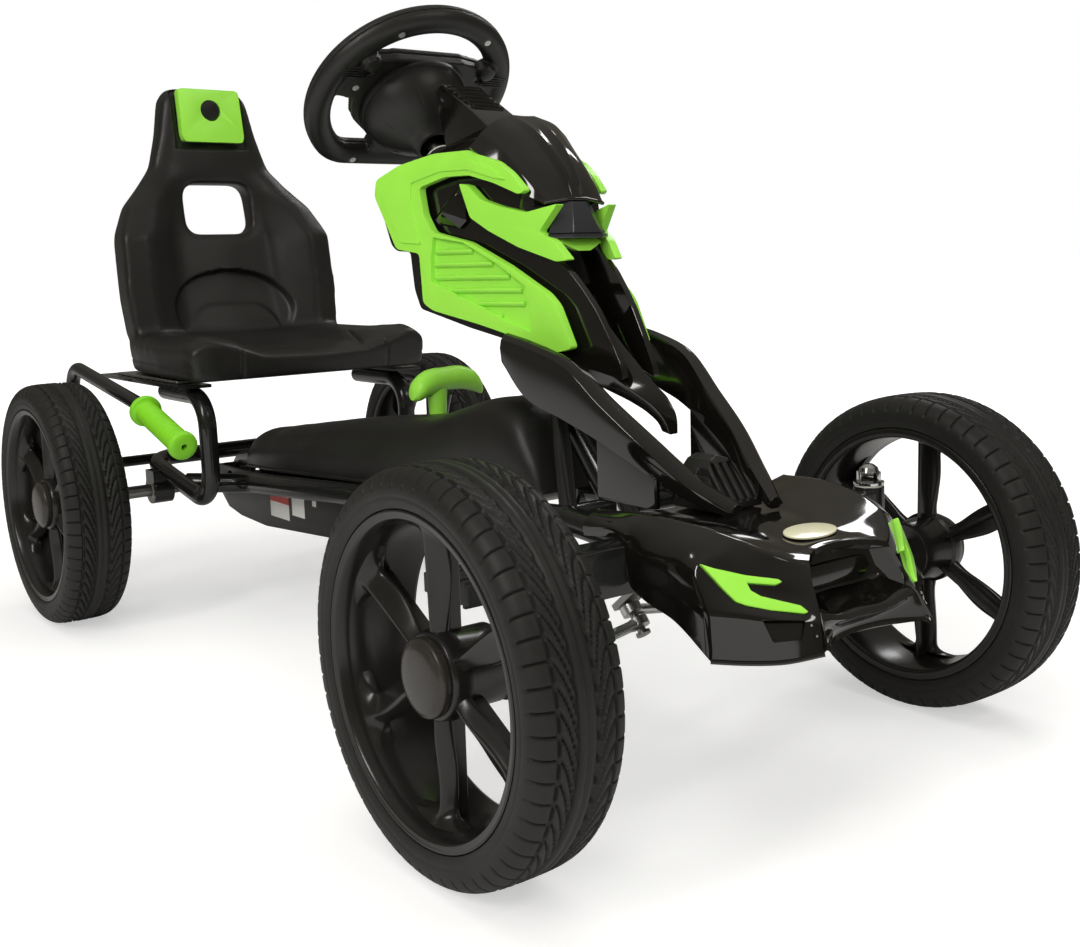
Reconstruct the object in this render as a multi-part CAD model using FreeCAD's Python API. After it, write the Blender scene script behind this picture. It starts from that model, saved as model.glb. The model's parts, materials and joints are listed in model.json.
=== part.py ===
import FreeCAD, Part
import os
from math import atan2, cos, pi, radians, sin, sqrt

# Pedal go-kart. Millimetres. The driver sits facing -Y, +X is the driver's left, +Z is up.
# The origin is on the floor, midway between the two axles.

V = FreeCAD.Vector
X_AXIS = V(1, 0, 0)
Z_AXIS = V(0, 0, 1)

# Overall size
HALF_LENGTH = 610.0
WHEEL_RADIUS = 150.0
AXLE_Y = 445.5
TRACK_FRONT_HALF = 268.0
TRACK_REAR_HALF = 272.5

# Wheels
TYRE_HALF_WIDTH = 38.0
RIM_LIP_RADIUS = 120.0
RIM_LIP_OFFSET = 36.0
RIM_BARREL_RADIUS = 112.0
RIM_WALL = 3.5
RIM_WINDOW_COUNT = 6
HUB_RADIUS = 30.0
HUB_INNER_END = -30.0
HUB_OUTER_END = 22.0
HUB_CAP_FACE = 33.5
AXLE_RADIUS = 8.0
RUNNING_CLEARANCE = 0.05
BUSH_RADIUS = 12.0

# Steering: the column leans back towards the driver
WHEEL_CENTRE = V(0, 22, 615)
COLUMN_TILT = 39.7
COLUMN_AXIS = V(0, sin(radians(COLUMN_TILT)), cos(radians(COLUMN_TILT)))
COLUMN_DOWN = V(0, cos(radians(COLUMN_TILT)), -sin(radians(COLUMN_TILT)))
RIM_OUTER_RADIUS = 117.0
RIM_SECTION_RADIUS = 14.0
RIM_FLAT_OFFSET = 85.0
RIM_CORNER_RADIUS = 38.0
SHAFT_RADIUS = 8.0
SHAFT_LENGTH = 600.0
COLUMN_TUBE_START = 90.0
COLUMN_TUBE_END = 545.0
PITMAN_ARM = 50.0
LEFT_ROD_DROP = 606.0
RIGHT_ROD_DROP = 620.0
PIN_RADIUS = 4.0

# Front axle
KINGPIN_X = 188.0
KINGPIN_RADIUS = 6.0
SLEEVE_RADIUS = 14.0
SLEEVE_BOTTOM = 166.0
SLEEVE_TOP = 222.0
KNUCKLE_ARM = 51.0
TIE_ROD_RADIUS = 5.0
TIE_ROD_END_Z = 108.0
OPEN_PIVOT_CLEARANCE = 2.0

# Frame
RAIL_X = 72.0
RAIL_RADIUS = 12.5
HOOP_X = 140.0
HOOP_RADIUS = 11.0
CRANK_Y = -165.0
CRANK_Z = 200.0
CRANK_LENGTH = 110.0
CRANK_ANGLE = 25.0
CHAIN_X = -28.0
CHAIN_PITCH = 12.7
RING_TEETH = 28
SPROCKET_TEETH = 14

# Seat
SEAT_BOTTOM = 300.0

# Brake lever and gear lever
BRAKE_PIVOT = V(-205, 500, 183)
BRAKE_GRIP_START = V(-205, 345, 276)
BRAKE_LEVER_END = V(-205, 215, 240)
GEAR_PIVOT = V(40, 75, 181)

# Leaning planes of the bodywork: x = a + b y + c z, and y = a + b x + c z for the strips.
PANEL_PLANE = (-133.8, -0.207, 0.0719)
CHEEK_PLANE = (-128.0, -0.235, 0.0719)
FANG_PLANE = (-105.3, -0.264, 0.0)
ACCENT_PLANE = (-738.9, -0.721, 0.591)


# ---------------------------------------------------------------- geometry helpers

def cylinder(start, end, radius):
    """Solid cylinder between two points."""
    axis = end.sub(start)
    return Part.makeCylinder(radius, axis.Length, start, axis)


def ring(start, end, outer, inner):
    """Hollow cylinder between two points."""
    return cylinder(start, end, outer).cut(cylinder(start, end, inner))


def box_between(low, high):
    """Box from its low corner to its high corner."""
    size = V(*high).sub(V(*low))
    return Part.makeBox(size.x, size.y, size.z, V(*low))


def mirrored(shape):
    """The same shape on the other side of the kart."""
    return shape.mirror(V(0, 0, 0), X_AXIS)


def polygon_face(points):
    """Flat face inside a closed outline."""
    return Part.Face(Part.makePolygon(list(points) + [points[0]]))


def side_plate(outline, x_low, x_high):
    """Plate from an outline of (y, z) points, between two x positions."""
    face = polygon_face([V(x_low, y, z) for y, z in outline])
    return face.extrude(V(x_high - x_low, 0, 0))


def leaning_plate(outline, plane, thickness):
    """Plate on the plane x = a + b y + c z, from (y, z) points, thickened towards +X."""
    a, b, c = plane
    face = polygon_face([V(a + b * y + c * z, y, z) for y, z in outline])
    return face.extrude(V(thickness, 0, 0))


def revolved(profile, start, axis):
    """Solid of revolution of (distance along axis, radius) points."""
    unit = V(axis).normalize()
    side = V(0, 0, 1) if abs(unit.z) < 0.9 else V(0, 1, 0)
    side = side.sub(V(unit).multiply(side.dot(unit))).normalize()
    points = [start + unit * along + side * radius for along, radius in profile]
    return polygon_face(points).revolve(start, unit, 360)


def bent_tube(points, radius, bend):
    """Round tube through a list of points, its corners rounded to the bend radius."""
    edges = []
    last = points[0]
    for before, corner, after in zip(points, points[1:], points[2:]):
        u = before.sub(corner).normalize()
        w = after.sub(corner).normalize()
        half_angle = u.getAngle(w) / 2
        reach = bend / abs(sin(half_angle) / cos(half_angle))
        start = corner + u * reach
        end = corner + w * reach
        inward = (u + w).normalize()
        centre = corner + inward * (bend / sin(half_angle))
        middle = centre - inward * bend
        edges.append(Part.LineSegment(last, start).toShape())
        edges.append(Part.Arc(start, middle, end).toShape())
        last = end
    edges.append(Part.LineSegment(last, points[-1]).toShape())
    direction = points[1].sub(points[0])
    section = Part.Wire(Part.makeCircle(radius, points[0], direction))
    return Part.Wire(edges).makePipeShell([section], True, True)


def closed_mesh_solid(triangles):
    """Solid bounded by flat triangles."""
    shell = Part.makeShell([polygon_face(corners) for corners in triangles])
    solid = Part.makeSolid(shell)
    if solid.Volume < 0:
        solid.reverse()
    return solid


def grid_solid(rows, inner):
    """Solid between two grids of surface points, closed round their borders."""
    count = len(rows)
    width = len(rows[0])
    triangles = []
    for surface in (rows, inner):
        for i in range(count - 1):
            for j in range(width - 1):
                a, b = surface[i][j], surface[i + 1][j]
                c, d = surface[i + 1][j + 1], surface[i][j + 1]
                triangles += [(a, b, c), (a, c, d)]
    border = [(0, j) for j in range(width)] + [(i, width - 1) for i in range(1, count)]
    border += [(count - 1, j) for j in range(width - 2, -1, -1)]
    border += [(i, 0) for i in range(count - 2, 0, -1)]
    for (i, j), (k, m) in zip(border, border[1:] + border[:1]):
        triangles += [(rows[i][j], rows[k][m], inner[k][m]), (rows[i][j], inner[k][m], inner[i][j])]
    return closed_mesh_solid(triangles)


def grid_shell(rows, thickness):
    """Moulded shell of even thickness under a grid of surface points."""
    count = len(rows)
    width = len(rows[0])

    def normal(i, j):
        along = rows[min(i + 1, count - 1)][j].sub(rows[max(i - 1, 0)][j])
        across = rows[i][min(j + 1, width - 1)].sub(rows[i][max(j - 1, 0)])
        return along.cross(across).normalize()

    inner = [[rows[i][j] - normal(i, j) * thickness for j in range(width)] for i in range(count)]
    return grid_solid(rows, inner)


def faceted_loft(sections):
    """Solid through sections with equal corner counts, its sides and ends made of triangles."""
    triangles = []
    count = len(sections[0])
    for before, after in zip(sections, sections[1:]):
        for k in range(count):
            m = (k + 1) % count
            triangles += [(before[k], before[m], after[m]), (before[k], after[m], after[k])]
    for end in (sections[0], sections[-1]):
        triangles += [(end[0], end[k], end[k + 1]) for k in range(1, count - 1)]
    return closed_mesh_solid(triangles)


def biggest_solid(shape):
    """The largest of the separate solids in a shape."""
    volumes = [piece.Volume for piece in shape.Solids]
    return shape.Solids[volumes.index(max(volumes))]


def symmetric_rows(half_rows):
    """Full rows of surface points from rows of (x, y, z) that start on the centre line."""
    rows = []
    for half in half_rows:
        left = [V(*point) for point in half]
        right = [V(-x, y, z) for x, y, z in half[:0:-1]]
        rows.append(right + left)
    return rows


def column_point(distance):
    """Point on the steering axis, measured down the column from the steering wheel."""
    return WHEEL_CENTRE - COLUMN_AXIS * distance


def on_column(shape):
    """Move a shape from the steering wheel's own frame (Z along the column) into the kart."""
    placed = shape.copy()
    placed.Placement = FreeCAD.Placement(WHEEL_CENTRE, FreeCAD.Rotation(X_AXIS, -COLUMN_TILT))
    return placed


# ---------------------------------------------------------------- wheels

def wheel_frame(shape, centre, side):
    """Place a wheel piece drawn along +X (outwards) at its centre, on side +1 or -1."""
    placed = shape.copy() if side > 0 else mirrored(shape)
    placed.translate(centre)
    return placed


def tyre():
    """Foam tyre: a low sidewall, rounded shoulders and four grooves round the tread."""
    half = TYRE_HALF_WIDTH
    shoulder = [(-RIM_LIP_OFFSET + 0.5, RIM_LIP_RADIUS + 0.5), (-half, 128), (-half, 136)]
    shoulder += [(-half + 3, 143), (-half + 8, 147)]
    tread = []
    for groove in (-18, -6, 6, 18):
        tread += [(groove - 1.5, WHEEL_RADIUS), (groove - 1, WHEEL_RADIUS - 2.5)]
        tread += [(groove + 1, WHEEL_RADIUS - 2.5), (groove + 1.5, WHEEL_RADIUS)]
    seat = RIM_LIP_OFFSET - 4.5
    left = [(-seat, RIM_BARREL_RADIUS), (-seat, RIM_LIP_RADIUS + 0.5)] + shoulder + [(-22, WHEEL_RADIUS)]
    right = [(-u, r) for u, r in reversed(left)]
    return revolved(left + tread + right, V(0, 0, 0), X_AXIS)


def rim_barrel():
    """Rim barrel with a lip on each side, open through the middle."""
    lip = RIM_LIP_OFFSET
    outer = RIM_BARREL_RADIUS
    inner = outer - RIM_WALL
    profile = [(-lip, inner), (-lip, RIM_LIP_RADIUS), (-lip + 4, RIM_LIP_RADIUS), (-lip + 4, outer)]
    profile += [(lip - 4, outer), (lip - 4, RIM_LIP_RADIUS), (lip, RIM_LIP_RADIUS), (lip, inner)]
    return revolved(profile, V(0, 0, 0), X_AXIS)


def rim_window():
    """One opening between two spokes: round near the hub, pointed at one outer corner."""
    radii_and_angles = [(38, 14), (46, 7), (70, 8), (100, 4), (104, 12), (106, 30), (104, 44)]
    radii_and_angles += [(96, 53), (74, 47), (54, 46), (42, 42), (36, 28)]
    points = []
    for radius, angle in radii_and_angles:
        turn = radians(angle)
        points.append(V(-RIM_LIP_OFFSET, radius * sin(turn), radius * cos(turn)))
    return polygon_face(points).extrude(V(2 * RIM_LIP_OFFSET, 0, 0))


def rim(bore):
    """Six-spoke moulded rim with its hub."""
    spoke_start, spoke_end = 6.0, 22.0
    disc = cylinder(V(spoke_start, 0, 0), V(spoke_end, 0, 0), RIM_BARREL_RADIUS - RIM_WALL + 0.5)
    window = rim_window()
    for index in range(RIM_WINDOW_COUNT):
        cutter = window.copy()
        cutter.rotate(V(0, 0, 0), X_AXIS, index * 360 / RIM_WINDOW_COUNT)
        disc = disc.cut(cutter)
    hub = cylinder(V(HUB_INNER_END, 0, 0), V(HUB_OUTER_END, 0, 0), HUB_RADIUS)
    whole = rim_barrel().fuse([disc, hub])
    bore_cut = cylinder(V(HUB_INNER_END - 1, 0, 0), V(HUB_OUTER_END + 1, 0, 0), bore)
    return whole.cut(bore_cut).removeSplitter()


def hub_cap():
    """Domed cap with a hollow for the axle nut."""
    radius = HUB_RADIUS - 1
    outer = [(HUB_OUTER_END, 0), (HUB_OUTER_END, radius), (HUB_CAP_FACE - 6, radius)]
    outer += [(HUB_CAP_FACE - 3, radius - 4), (HUB_CAP_FACE - 1, radius - 12), (HUB_CAP_FACE, 8)]
    outer += [(HUB_CAP_FACE, 0)]
    hollow = cylinder(V(HUB_OUTER_END - 1, 0, 0), V(HUB_CAP_FACE - 2.5, 0, 0), HUB_RADIUS - 8)
    return revolved(outer, V(0, 0, 0), X_AXIS).cut(hollow)


def wheel_bushes():
    """Two flanged plain bushes pressed into the hub."""
    length = 16.0
    inner = AXLE_RADIUS + RUNNING_CLEARANCE
    near = ring(V(HUB_INNER_END, 0, 0), V(HUB_INNER_END + length, 0, 0), BUSH_RADIUS, inner)
    far = ring(V(HUB_OUTER_END - length, 0, 0), V(HUB_OUTER_END, 0, 0), BUSH_RADIUS, inner)
    return Part.makeCompound([near, far])


def hex_nut(start, end, radius):
    """Solid hexagon along X between two points."""
    turns = [pi * k / 3 for k in range(6)]
    corners = [start + V(0, radius * cos(turn), radius * sin(turn)) for turn in turns]
    return polygon_face(corners).extrude(end.sub(start))


def axle_nut(bore):
    """Hexagonal nut that keeps a wheel on its axle."""
    start = V(HUB_OUTER_END + 0.5, 0, 0)
    end = V(HUB_OUTER_END + 7.5, 0, 0)
    return hex_nut(start, end, 14).cut(cylinder(start, end, bore))


# ---------------------------------------------------------------- steering

def d_shaped_path():
    """Centre line of the steering wheel rim: an arc closed by a flat with two round corners."""
    radius = RIM_OUTER_RADIUS - RIM_SECTION_RADIUS
    corner_y = RIM_FLAT_OFFSET - RIM_CORNER_RADIUS
    corner_x = sqrt((radius - RIM_CORNER_RADIUS) ** 2 - corner_y ** 2)
    turn = atan2(corner_y, corner_x)
    touch = V(radius * cos(turn), radius * sin(turn), 0)
    flat = V(corner_x, RIM_FLAT_OFFSET, 0)
    half_way = turn / 2 + pi / 4
    middle = V(corner_x, corner_y, 0) + V(cos(half_way), sin(half_way), 0) * RIM_CORNER_RADIUS
    top = V(0, -radius, 0)
    far_touch, far_middle, far_flat = [V(-p.x, p.y, p.z) for p in (touch, middle, flat)]
    arc = Part.Arc(touch, top, far_touch).toShape()
    far_corner = Part.Arc(far_touch, far_middle, far_flat).toShape()
    line = Part.LineSegment(far_flat, flat).toShape()
    near_corner = Part.Arc(flat, middle, touch).toShape()
    return Part.Wire([arc, far_corner, line, near_corner]), touch


def rim_ring():
    """Full round-section steering wheel rim, in the wheel's own frame."""
    path, start = d_shaped_path()
    along = V(start.y, -start.x, 0)
    section = Part.Wire(Part.makeCircle(RIM_SECTION_RADIUS, start, along))
    return path.makePipeShell([section], True, True)


def half_space(z_low, z_high):
    """Big slab between two heights, to split the steering wheel."""
    return box_between((-150, -150, z_low), (150, 150, z_high))


def spoke_outline():
    """Outline of the three spokes and the centre of the steering wheel, right half first."""
    right = [(24, 94), (24, 62), (40, 46), (60, 30), (70, 2), (98, -4), (98, -33), (62, -33)]
    right += [(70, -50), (40, -56)]
    left = [(-x, y) for x, y in reversed(right)]
    return [V(x, y, 0) for x, y in right + left]


def steering_half(z_low, z_high, plate_low, plate_high, paddles):
    """Front or back half of the steering wheel moulding."""
    half_rim = rim_ring().common(half_space(z_low, z_high))
    outline = [V(p.x, p.y, plate_low) for p in spoke_outline()]
    plate = polygon_face(outline).extrude(V(0, 0, plate_high - plate_low))
    solid = half_rim.fuse([plate] + paddles)
    bore = cylinder(V(0, 0, -20), V(0, 0, 20), SHAFT_RADIUS)
    return solid.cut(bore).removeSplitter()


def shift_paddles():
    """Ribbed blocks and round knobs on the back of the two side spokes."""
    pieces = []
    for side in (-1, 1):
        low, high = sorted((side * 72, side * 97))
        pieces.append(box_between((low, -44, -13), (high, -30, -3)))
        pieces.append(cylinder(V(side * 70, -50, -16), V(side * 70, -50, -2), 10))
    return pieces


def screw_places():
    """Places of the steering wheel screws: (x, y) in the wheel's own frame."""
    return [(52, -89), (-52, -89), (40, 86), (-40, 86), (74, -14), (-74, -14)]


def steering_wheel_pieces():
    """Driver's half, back half, bell, horn pad and screws of the steering wheel."""
    front = steering_half(0, 20, 0, 7, [])
    back = steering_half(-20, 0, -11, 0, shift_paddles())
    screws = []
    for x, y in screw_places():
        depth = -11.0 if abs(x) == 74 else -RIM_SECTION_RADIUS
        back = back.cut(cylinder(V(x, y, depth - 5), V(x, y, depth + 2.5), 3.6))
        screws.append(cylinder(V(x, y, depth + 0.5), V(x, y, depth + 2.5), 3.6))
    outer = [(-11.5, 62), (-11.5, 76), (-16, 76), (-24, 71), (-38, 56), (-52, 38), (-64, 26), (-76, 20)]
    inner = [(-76, 17), (-64, 22), (-52, 34), (-38, 52), (-24, 67), (-14.5, 62)]
    bell = revolved(outer + inner, V(0, 0, 0), Z_AXIS)
    slots = []
    for k in range(6):
        slot = box_between((40, -1.5, -50), (80, 1.5, -28))
        slot.rotate(V(0, 0, 0), Z_AXIS, 60 * k)
        slots.append(slot)
    bell = bell.cut(Part.makeCompound(slots))
    pad_profile = [(7, 0), (7, 46), (12, 45), (16, 40), (18, 30), (19, 0)]
    pad = revolved(pad_profile, V(0, 0, 0), Z_AXIS)
    return {
        "steering_wheel_front": front,
        "steering_wheel_back": back,
        "steering_bell": bell,
        "horn_pad": pad,
        "steering_wheel_screws": Part.makeCompound(screws),
    }


def steering_shaft():
    """Shaft down the column, with a drop arm at its foot and one pin for both tie rods."""
    shaft = cylinder(V(0, 0, 0), V(0, 0, -SHAFT_LENGTH), SHAFT_RADIUS)
    plate_top = -SHAFT_LENGTH + 6
    outline = [(-10, -10), (10, -10), (11, PITMAN_ARM - 8), (11, PITMAN_ARM + 10)]
    outline += [(-11, PITMAN_ARM + 10), (-11, PITMAN_ARM - 8)]
    plate = polygon_face([V(x, y, plate_top) for x, y in outline]).extrude(V(0, 0, -6))
    pin_top = V(0, PITMAN_ARM, plate_top)
    pin_foot = V(0, PITMAN_ARM, -RIGHT_ROD_DROP - 9)
    pin = cylinder(pin_top, pin_foot, PIN_RADIUS)
    head = cylinder(pin_foot, pin_foot - V(0, 0, 3), 7)
    return shaft.fuse([plate, pin, head]).removeSplitter()


def tie_rod(side, drop):
    """Tie rod of one side: an eye at each end; the outer eye has play round its pin."""
    inner = column_point(drop) + COLUMN_DOWN * PITMAN_ARM
    outer = V(side * KINGPIN_X, -AXLE_Y + KNUCKLE_ARM, TIE_ROD_END_Z)
    half = 4.0
    inner_reach = COLUMN_AXIS * half
    outer_reach = V(0, 0, half)
    rod = cylinder(inner, outer, TIE_ROD_RADIUS)
    inner_eye = cylinder(inner - inner_reach, inner + inner_reach, 10)
    outer_eye = cylinder(outer - outer_reach, outer + outer_reach, 13)
    inner_hole = PIN_RADIUS + RUNNING_CLEARANCE
    outer_hole = PIN_RADIUS + OPEN_PIVOT_CLEARANCE
    solid = rod.fuse([inner_eye, outer_eye])
    solid = solid.cut(cylinder(inner - inner_reach * 3, inner + inner_reach * 3, inner_hole))
    solid = solid.cut(cylinder(outer - outer_reach * 3, outer + outer_reach * 3, outer_hole))
    return solid.removeSplitter()


def knuckle():
    """Left steering knuckle: kingpin, block, stub axle and steering arm."""
    x, y = KINGPIN_X, -AXLE_Y
    pin = cylinder(V(x, y, 140), V(x, y, 236), KINGPIN_RADIUS)
    block = box_between((x - 15, y - 15, 118), (x + 15, y + 15, SLEEVE_BOTTOM - 1.8))
    wheel_x = TRACK_FRONT_HALF
    stub = cylinder(V(x, y, WHEEL_RADIUS), V(wheel_x + HUB_OUTER_END + 7, y, WHEEL_RADIUS), AXLE_RADIUS)
    collar = cylinder(V(x, y, WHEEL_RADIUS), V(wheel_x + HUB_INNER_END - 0.5, y, WHEEL_RADIUS), 13)
    arm = box_between((x - 11, y, 118), (x + 11, y + KNUCKLE_ARM + 11, 126))
    arm_y = y + KNUCKLE_ARM
    drop_pin = cylinder(V(x, arm_y, 99), V(x, arm_y, 120), PIN_RADIUS)
    head = cylinder(V(x, arm_y, 98), V(x, arm_y, 101), 9)
    return pin.fuse([block, stub, collar, arm, drop_pin, head]).removeSplitter()


def knuckle_nuts():
    """Kingpin washer and nut, and the wheel nut, of the left knuckle."""
    x, y = KINGPIN_X, -AXLE_Y
    bore = KINGPIN_RADIUS
    washer = ring(V(x, y, SLEEVE_TOP + 1.8), V(x, y, SLEEVE_TOP + 4.3), 14, bore)
    corners = [V(x + 11 * cos(pi * k / 3), y + 11 * sin(pi * k / 3), SLEEVE_TOP + 4.3) for k in range(6)]
    nut = polygon_face(corners).extrude(V(0, 0, 9))
    dome = revolved([(0, 0), (0, 9.5), (4, 8), (7, 4), (7, 0)], V(x, y, SLEEVE_TOP + 13.3), Z_AXIS)
    nut = nut.fuse(dome).cut(cylinder(V(x, y, 200), V(x, y, 236), bore))
    wheel_nut = wheel_frame(axle_nut(AXLE_RADIUS), V(TRACK_FRONT_HALF, y, WHEEL_RADIUS), 1)
    return Part.makeCompound([washer, nut, wheel_nut])


def front_axle_beam():
    """Box-section beam with an upright sleeve at each end for the kingpins."""
    y = -AXLE_Y
    wall = 2.5
    half_length = KINGPIN_X - 8
    beam = box_between((-half_length, y - 15, 180), (half_length, y + 15, 218))
    half_core = half_length - 12
    core = box_between((-half_core, y - 15 + wall, 180 + wall), (half_core, y + 15 - wall, 218 - wall))
    solid = beam.cut(core)
    sleeves = []
    bores = []
    for side in (-1, 1):
        x = side * KINGPIN_X
        sleeves.append(cylinder(V(x, y, SLEEVE_BOTTOM), V(x, y, SLEEVE_TOP), SLEEVE_RADIUS))
        bores.append(cylinder(V(x, y, SLEEVE_BOTTOM - 1), V(x, y, SLEEVE_TOP + 1), 10))
    return solid.fuse(sleeves).cut(Part.makeCompound(bores)).removeSplitter()


def flanged_bush(start, towards, outer, inner):
    """Nylon bush pressed in from start, its flange left outside."""
    unit = V(towards).normalize()
    body = ring(start, start + unit * 14, outer, inner)
    flange = ring(start - unit * 1.5, start, outer + 3, inner)
    return body.fuse(flange)


def steering_bushes():
    """Nylon bushes of the two kingpins and of the steering column."""
    bushes = []
    for side in (-1, 1):
        x, y = side * KINGPIN_X, -AXLE_Y
        inner = KINGPIN_RADIUS + RUNNING_CLEARANCE
        bushes.append(flanged_bush(V(x, y, SLEEVE_TOP), V(0, 0, -1), 10, inner))
        bushes.append(flanged_bush(V(x, y, SLEEVE_BOTTOM), V(0, 0, 1), 10, inner))
    inner = SHAFT_RADIUS + RUNNING_CLEARANCE
    bushes.append(flanged_bush(column_point(COLUMN_TUBE_START), COLUMN_AXIS * -1, 12, inner))
    bushes.append(flanged_bush(column_point(COLUMN_TUBE_END), COLUMN_AXIS, 12, inner))
    return Part.makeCompound(bushes)


# ---------------------------------------------------------------- frame

def rail():
    """Left main rail, from the rear hoop forwards and up to the front axle beam."""
    points = [V(HOOP_X - 6, 384, 164), V(RAIL_X, 330, 162), V(RAIL_X, -330, 212)]
    points.append(V(RAIL_X, -AXLE_Y + 15, 204))
    return bent_tube(points, RAIL_RADIUS, 45)


def hoop_bearing(side):
    """Rear axle bearing housing under the hoop, on side +1 or -1."""
    x = side * (HOOP_X + 8)
    low = V(x - 13, AXLE_Y, WHEEL_RADIUS)
    high = V(x + 13, AXLE_Y, WHEEL_RADIUS)
    housing = cylinder(low, high, 18)
    neck = box_between((x - 13, AXLE_Y - 14, WHEEL_RADIUS), (x + 13, AXLE_Y + 14, 176))
    return housing.fuse(neck)


def seat_hoop():
    """One bent tube: under the seat, down each side, back past the axle and across the rear."""
    half = [V(HOOP_X, 420, 281), V(HOOP_X, 292, 281), V(HOOP_X, 290, 147), V(HOOP_X, 500, 183)]
    points = half + [V(-p.x, p.y, p.z) for p in reversed(half)]
    tube = bent_tube(points, HOOP_RADIUS, 38)
    tube = tube.fuse([hoop_bearing(1), hoop_bearing(-1)])
    bores = cylinder(V(-180, AXLE_Y, WHEEL_RADIUS), V(180, AXLE_Y, WHEEL_RADIUS), 13)
    stub_end = BRAKE_PIVOT + V(-9, 0, 0)
    stub = cylinder(V(-HOOP_X + 50, BRAKE_PIVOT.y, BRAKE_PIVOT.z), stub_end, 7)
    return tube.cut(bores).fuse(stub).removeSplitter()


def crank_axis_point(x):
    """Point on the crank axis."""
    return V(x, CRANK_Y, CRANK_Z)


def main_frame(hoop, beam):
    """Welded frame: two rails, cross tubes, crank housings, column tube and its struts."""
    left = rail()
    cross_z = 211.0
    cross_centre = column_point((WHEEL_CENTRE.z - cross_z) / COLUMN_AXIS.z)
    cross = cylinder(V(-RAIL_X, cross_centre.y, cross_z), V(RAIL_X, cross_centre.y, cross_z), 10)
    column = cylinder(column_point(COLUMN_TUBE_START), column_point(COLUMN_TUBE_END), 15)
    bar_centre = column_point(280)
    fairing_bar = cylinder(bar_centre - V(52, 0, 0), bar_centre + V(52, 0, 0), 7)
    struts = []
    housings = []
    for side in (-1, 1):
        struts.append(cylinder(V(side * RAIL_X, -330, 211), column_point(385), 8))
        housings.append(cylinder(crank_axis_point(side * 58.5), crank_axis_point(side * 85.5), 19))
    gear_pin = cylinder(GEAR_PIVOT - V(10, 0, 0), V(RAIL_X, GEAR_PIVOT.y, GEAR_PIVOT.z), 5)
    solid = left.fuse([mirrored(left), cross, column, fairing_bar, gear_pin] + struts + housings)
    solid = solid.cut(cylinder(column_point(COLUMN_TUBE_START - 5), column_point(COLUMN_TUBE_END + 20), 12))
    solid = solid.cut(cylinder(crank_axis_point(-90), crank_axis_point(90), 14))
    solid = solid.cut(hoop).cut(beam)
    return biggest_solid(solid)


def bearings():
    """Plain bearings of the rear axle and of the crank."""
    pieces = []
    for side in (-1, 1):
        inner = AXLE_RADIUS + RUNNING_CLEARANCE
        x = side * (HOOP_X + 8)
        pieces.append(ring(V(x - 13, AXLE_Y, WHEEL_RADIUS), V(x + 13, AXLE_Y, WHEEL_RADIUS), 13, inner))
        near, far = crank_axis_point(side * 58.5), crank_axis_point(side * 85.5)
        pieces.append(ring(near, far, 14, inner))
    return Part.makeCompound(pieces)


def seat_plates():
    """Two perforated plates on the hoop that carry the seat."""
    plates = []
    for side in (-1, 1):
        low, high = sorted((side * 128, side * 170))
        plate = box_between((low, 300, 292), (high, 585, 296))
        holes = []
        for k in range(12):
            for offset in (138, 158):
                y = 320 + 22 * k
                holes.append(cylinder(V(side * offset, y, 290), V(side * offset, y, 298), 4.2))
        plates.append(plate.cut(Part.makeCompound(holes)))
    return Part.makeCompound(plates)


def seat_brackets():
    """Two flat bars under the seat that slide along the plates."""
    bars = []
    for side in (-1, 1):
        low, high = sorted((side * 130, side * 160))
        bars.append(box_between((low, 330, 296.4), (high, 540, SEAT_BOTTOM)))
    return Part.makeCompound(bars)


# ---------------------------------------------------------------- drive

def pitch_radius(teeth):
    """Pitch radius of a chain sprocket."""
    return CHAIN_PITCH / (2 * sin(pi / teeth))


def toothed_disc(teeth, thickness, centre):
    """Chain sprocket in the plane of the chain."""
    radius = pitch_radius(teeth)
    points = []
    for k in range(teeth):
        for share, reach in ((0.0, -3.6), (0.3, -1.0), (0.42, 3.0), (0.58, 3.0), (0.7, -1.0)):
            turn = 2 * pi * (k + share) / teeth
            tip = radius + reach
            points.append(centre + V(-thickness / 2, tip * cos(turn), tip * sin(turn)))
    return polygon_face(points).extrude(V(thickness, 0, 0))


def crank_end(side):
    """Centre of the pedal spindle on side -1 (right, forward and low) or +1 (left)."""
    turn = radians(CRANK_ANGLE)
    return V(0, CRANK_Y + side * CRANK_LENGTH * cos(turn), CRANK_Z + side * CRANK_LENGTH * sin(turn))


def crank():
    """Crankshaft with its chainring, two arms and two pedal spindles, welded in one."""
    shaft = cylinder(crank_axis_point(-96), crank_axis_point(96), AXLE_RADIUS)
    wheel = toothed_disc(RING_TEETH, 4, crank_axis_point(CHAIN_X))
    lightening = []
    for k in range(5):
        turn = 2 * pi * k / 5
        centre = V(CHAIN_X - 5, CRANK_Y + 33 * cos(turn), CRANK_Z + 33 * sin(turn))
        lightening.append(cylinder(centre, centre + V(10, 0, 0), 10))
    wheel = wheel.cut(Part.makeCompound(lightening))
    boss = cylinder(crank_axis_point(CHAIN_X - 8), crank_axis_point(CHAIN_X + 8), 15)
    parts = [wheel, boss]
    for side in (-1, 1):
        low, high = sorted((side * 87, side * 96))
        hub = crank_axis_point(low)
        end = crank_end(side) + V(low, 0, 0)
        run = V(high - low, 0, 0)
        along = end.sub(hub).normalize()
        across = V(0, -along.z, along.y) * 10
        arm = polygon_face([hub + across, hub - across, end - across * 0.8, end + across * 0.8]).extrude(run)
        parts += [arm, cylinder(hub, hub + run, 15), cylinder(end, end + run, 9)]
        spindle = cylinder(V(side * 90, end.y, end.z), V(side * 163, end.y, end.z), 6)
        parts.append(spindle)
    return shaft.fuse(parts).removeSplitter()


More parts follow.
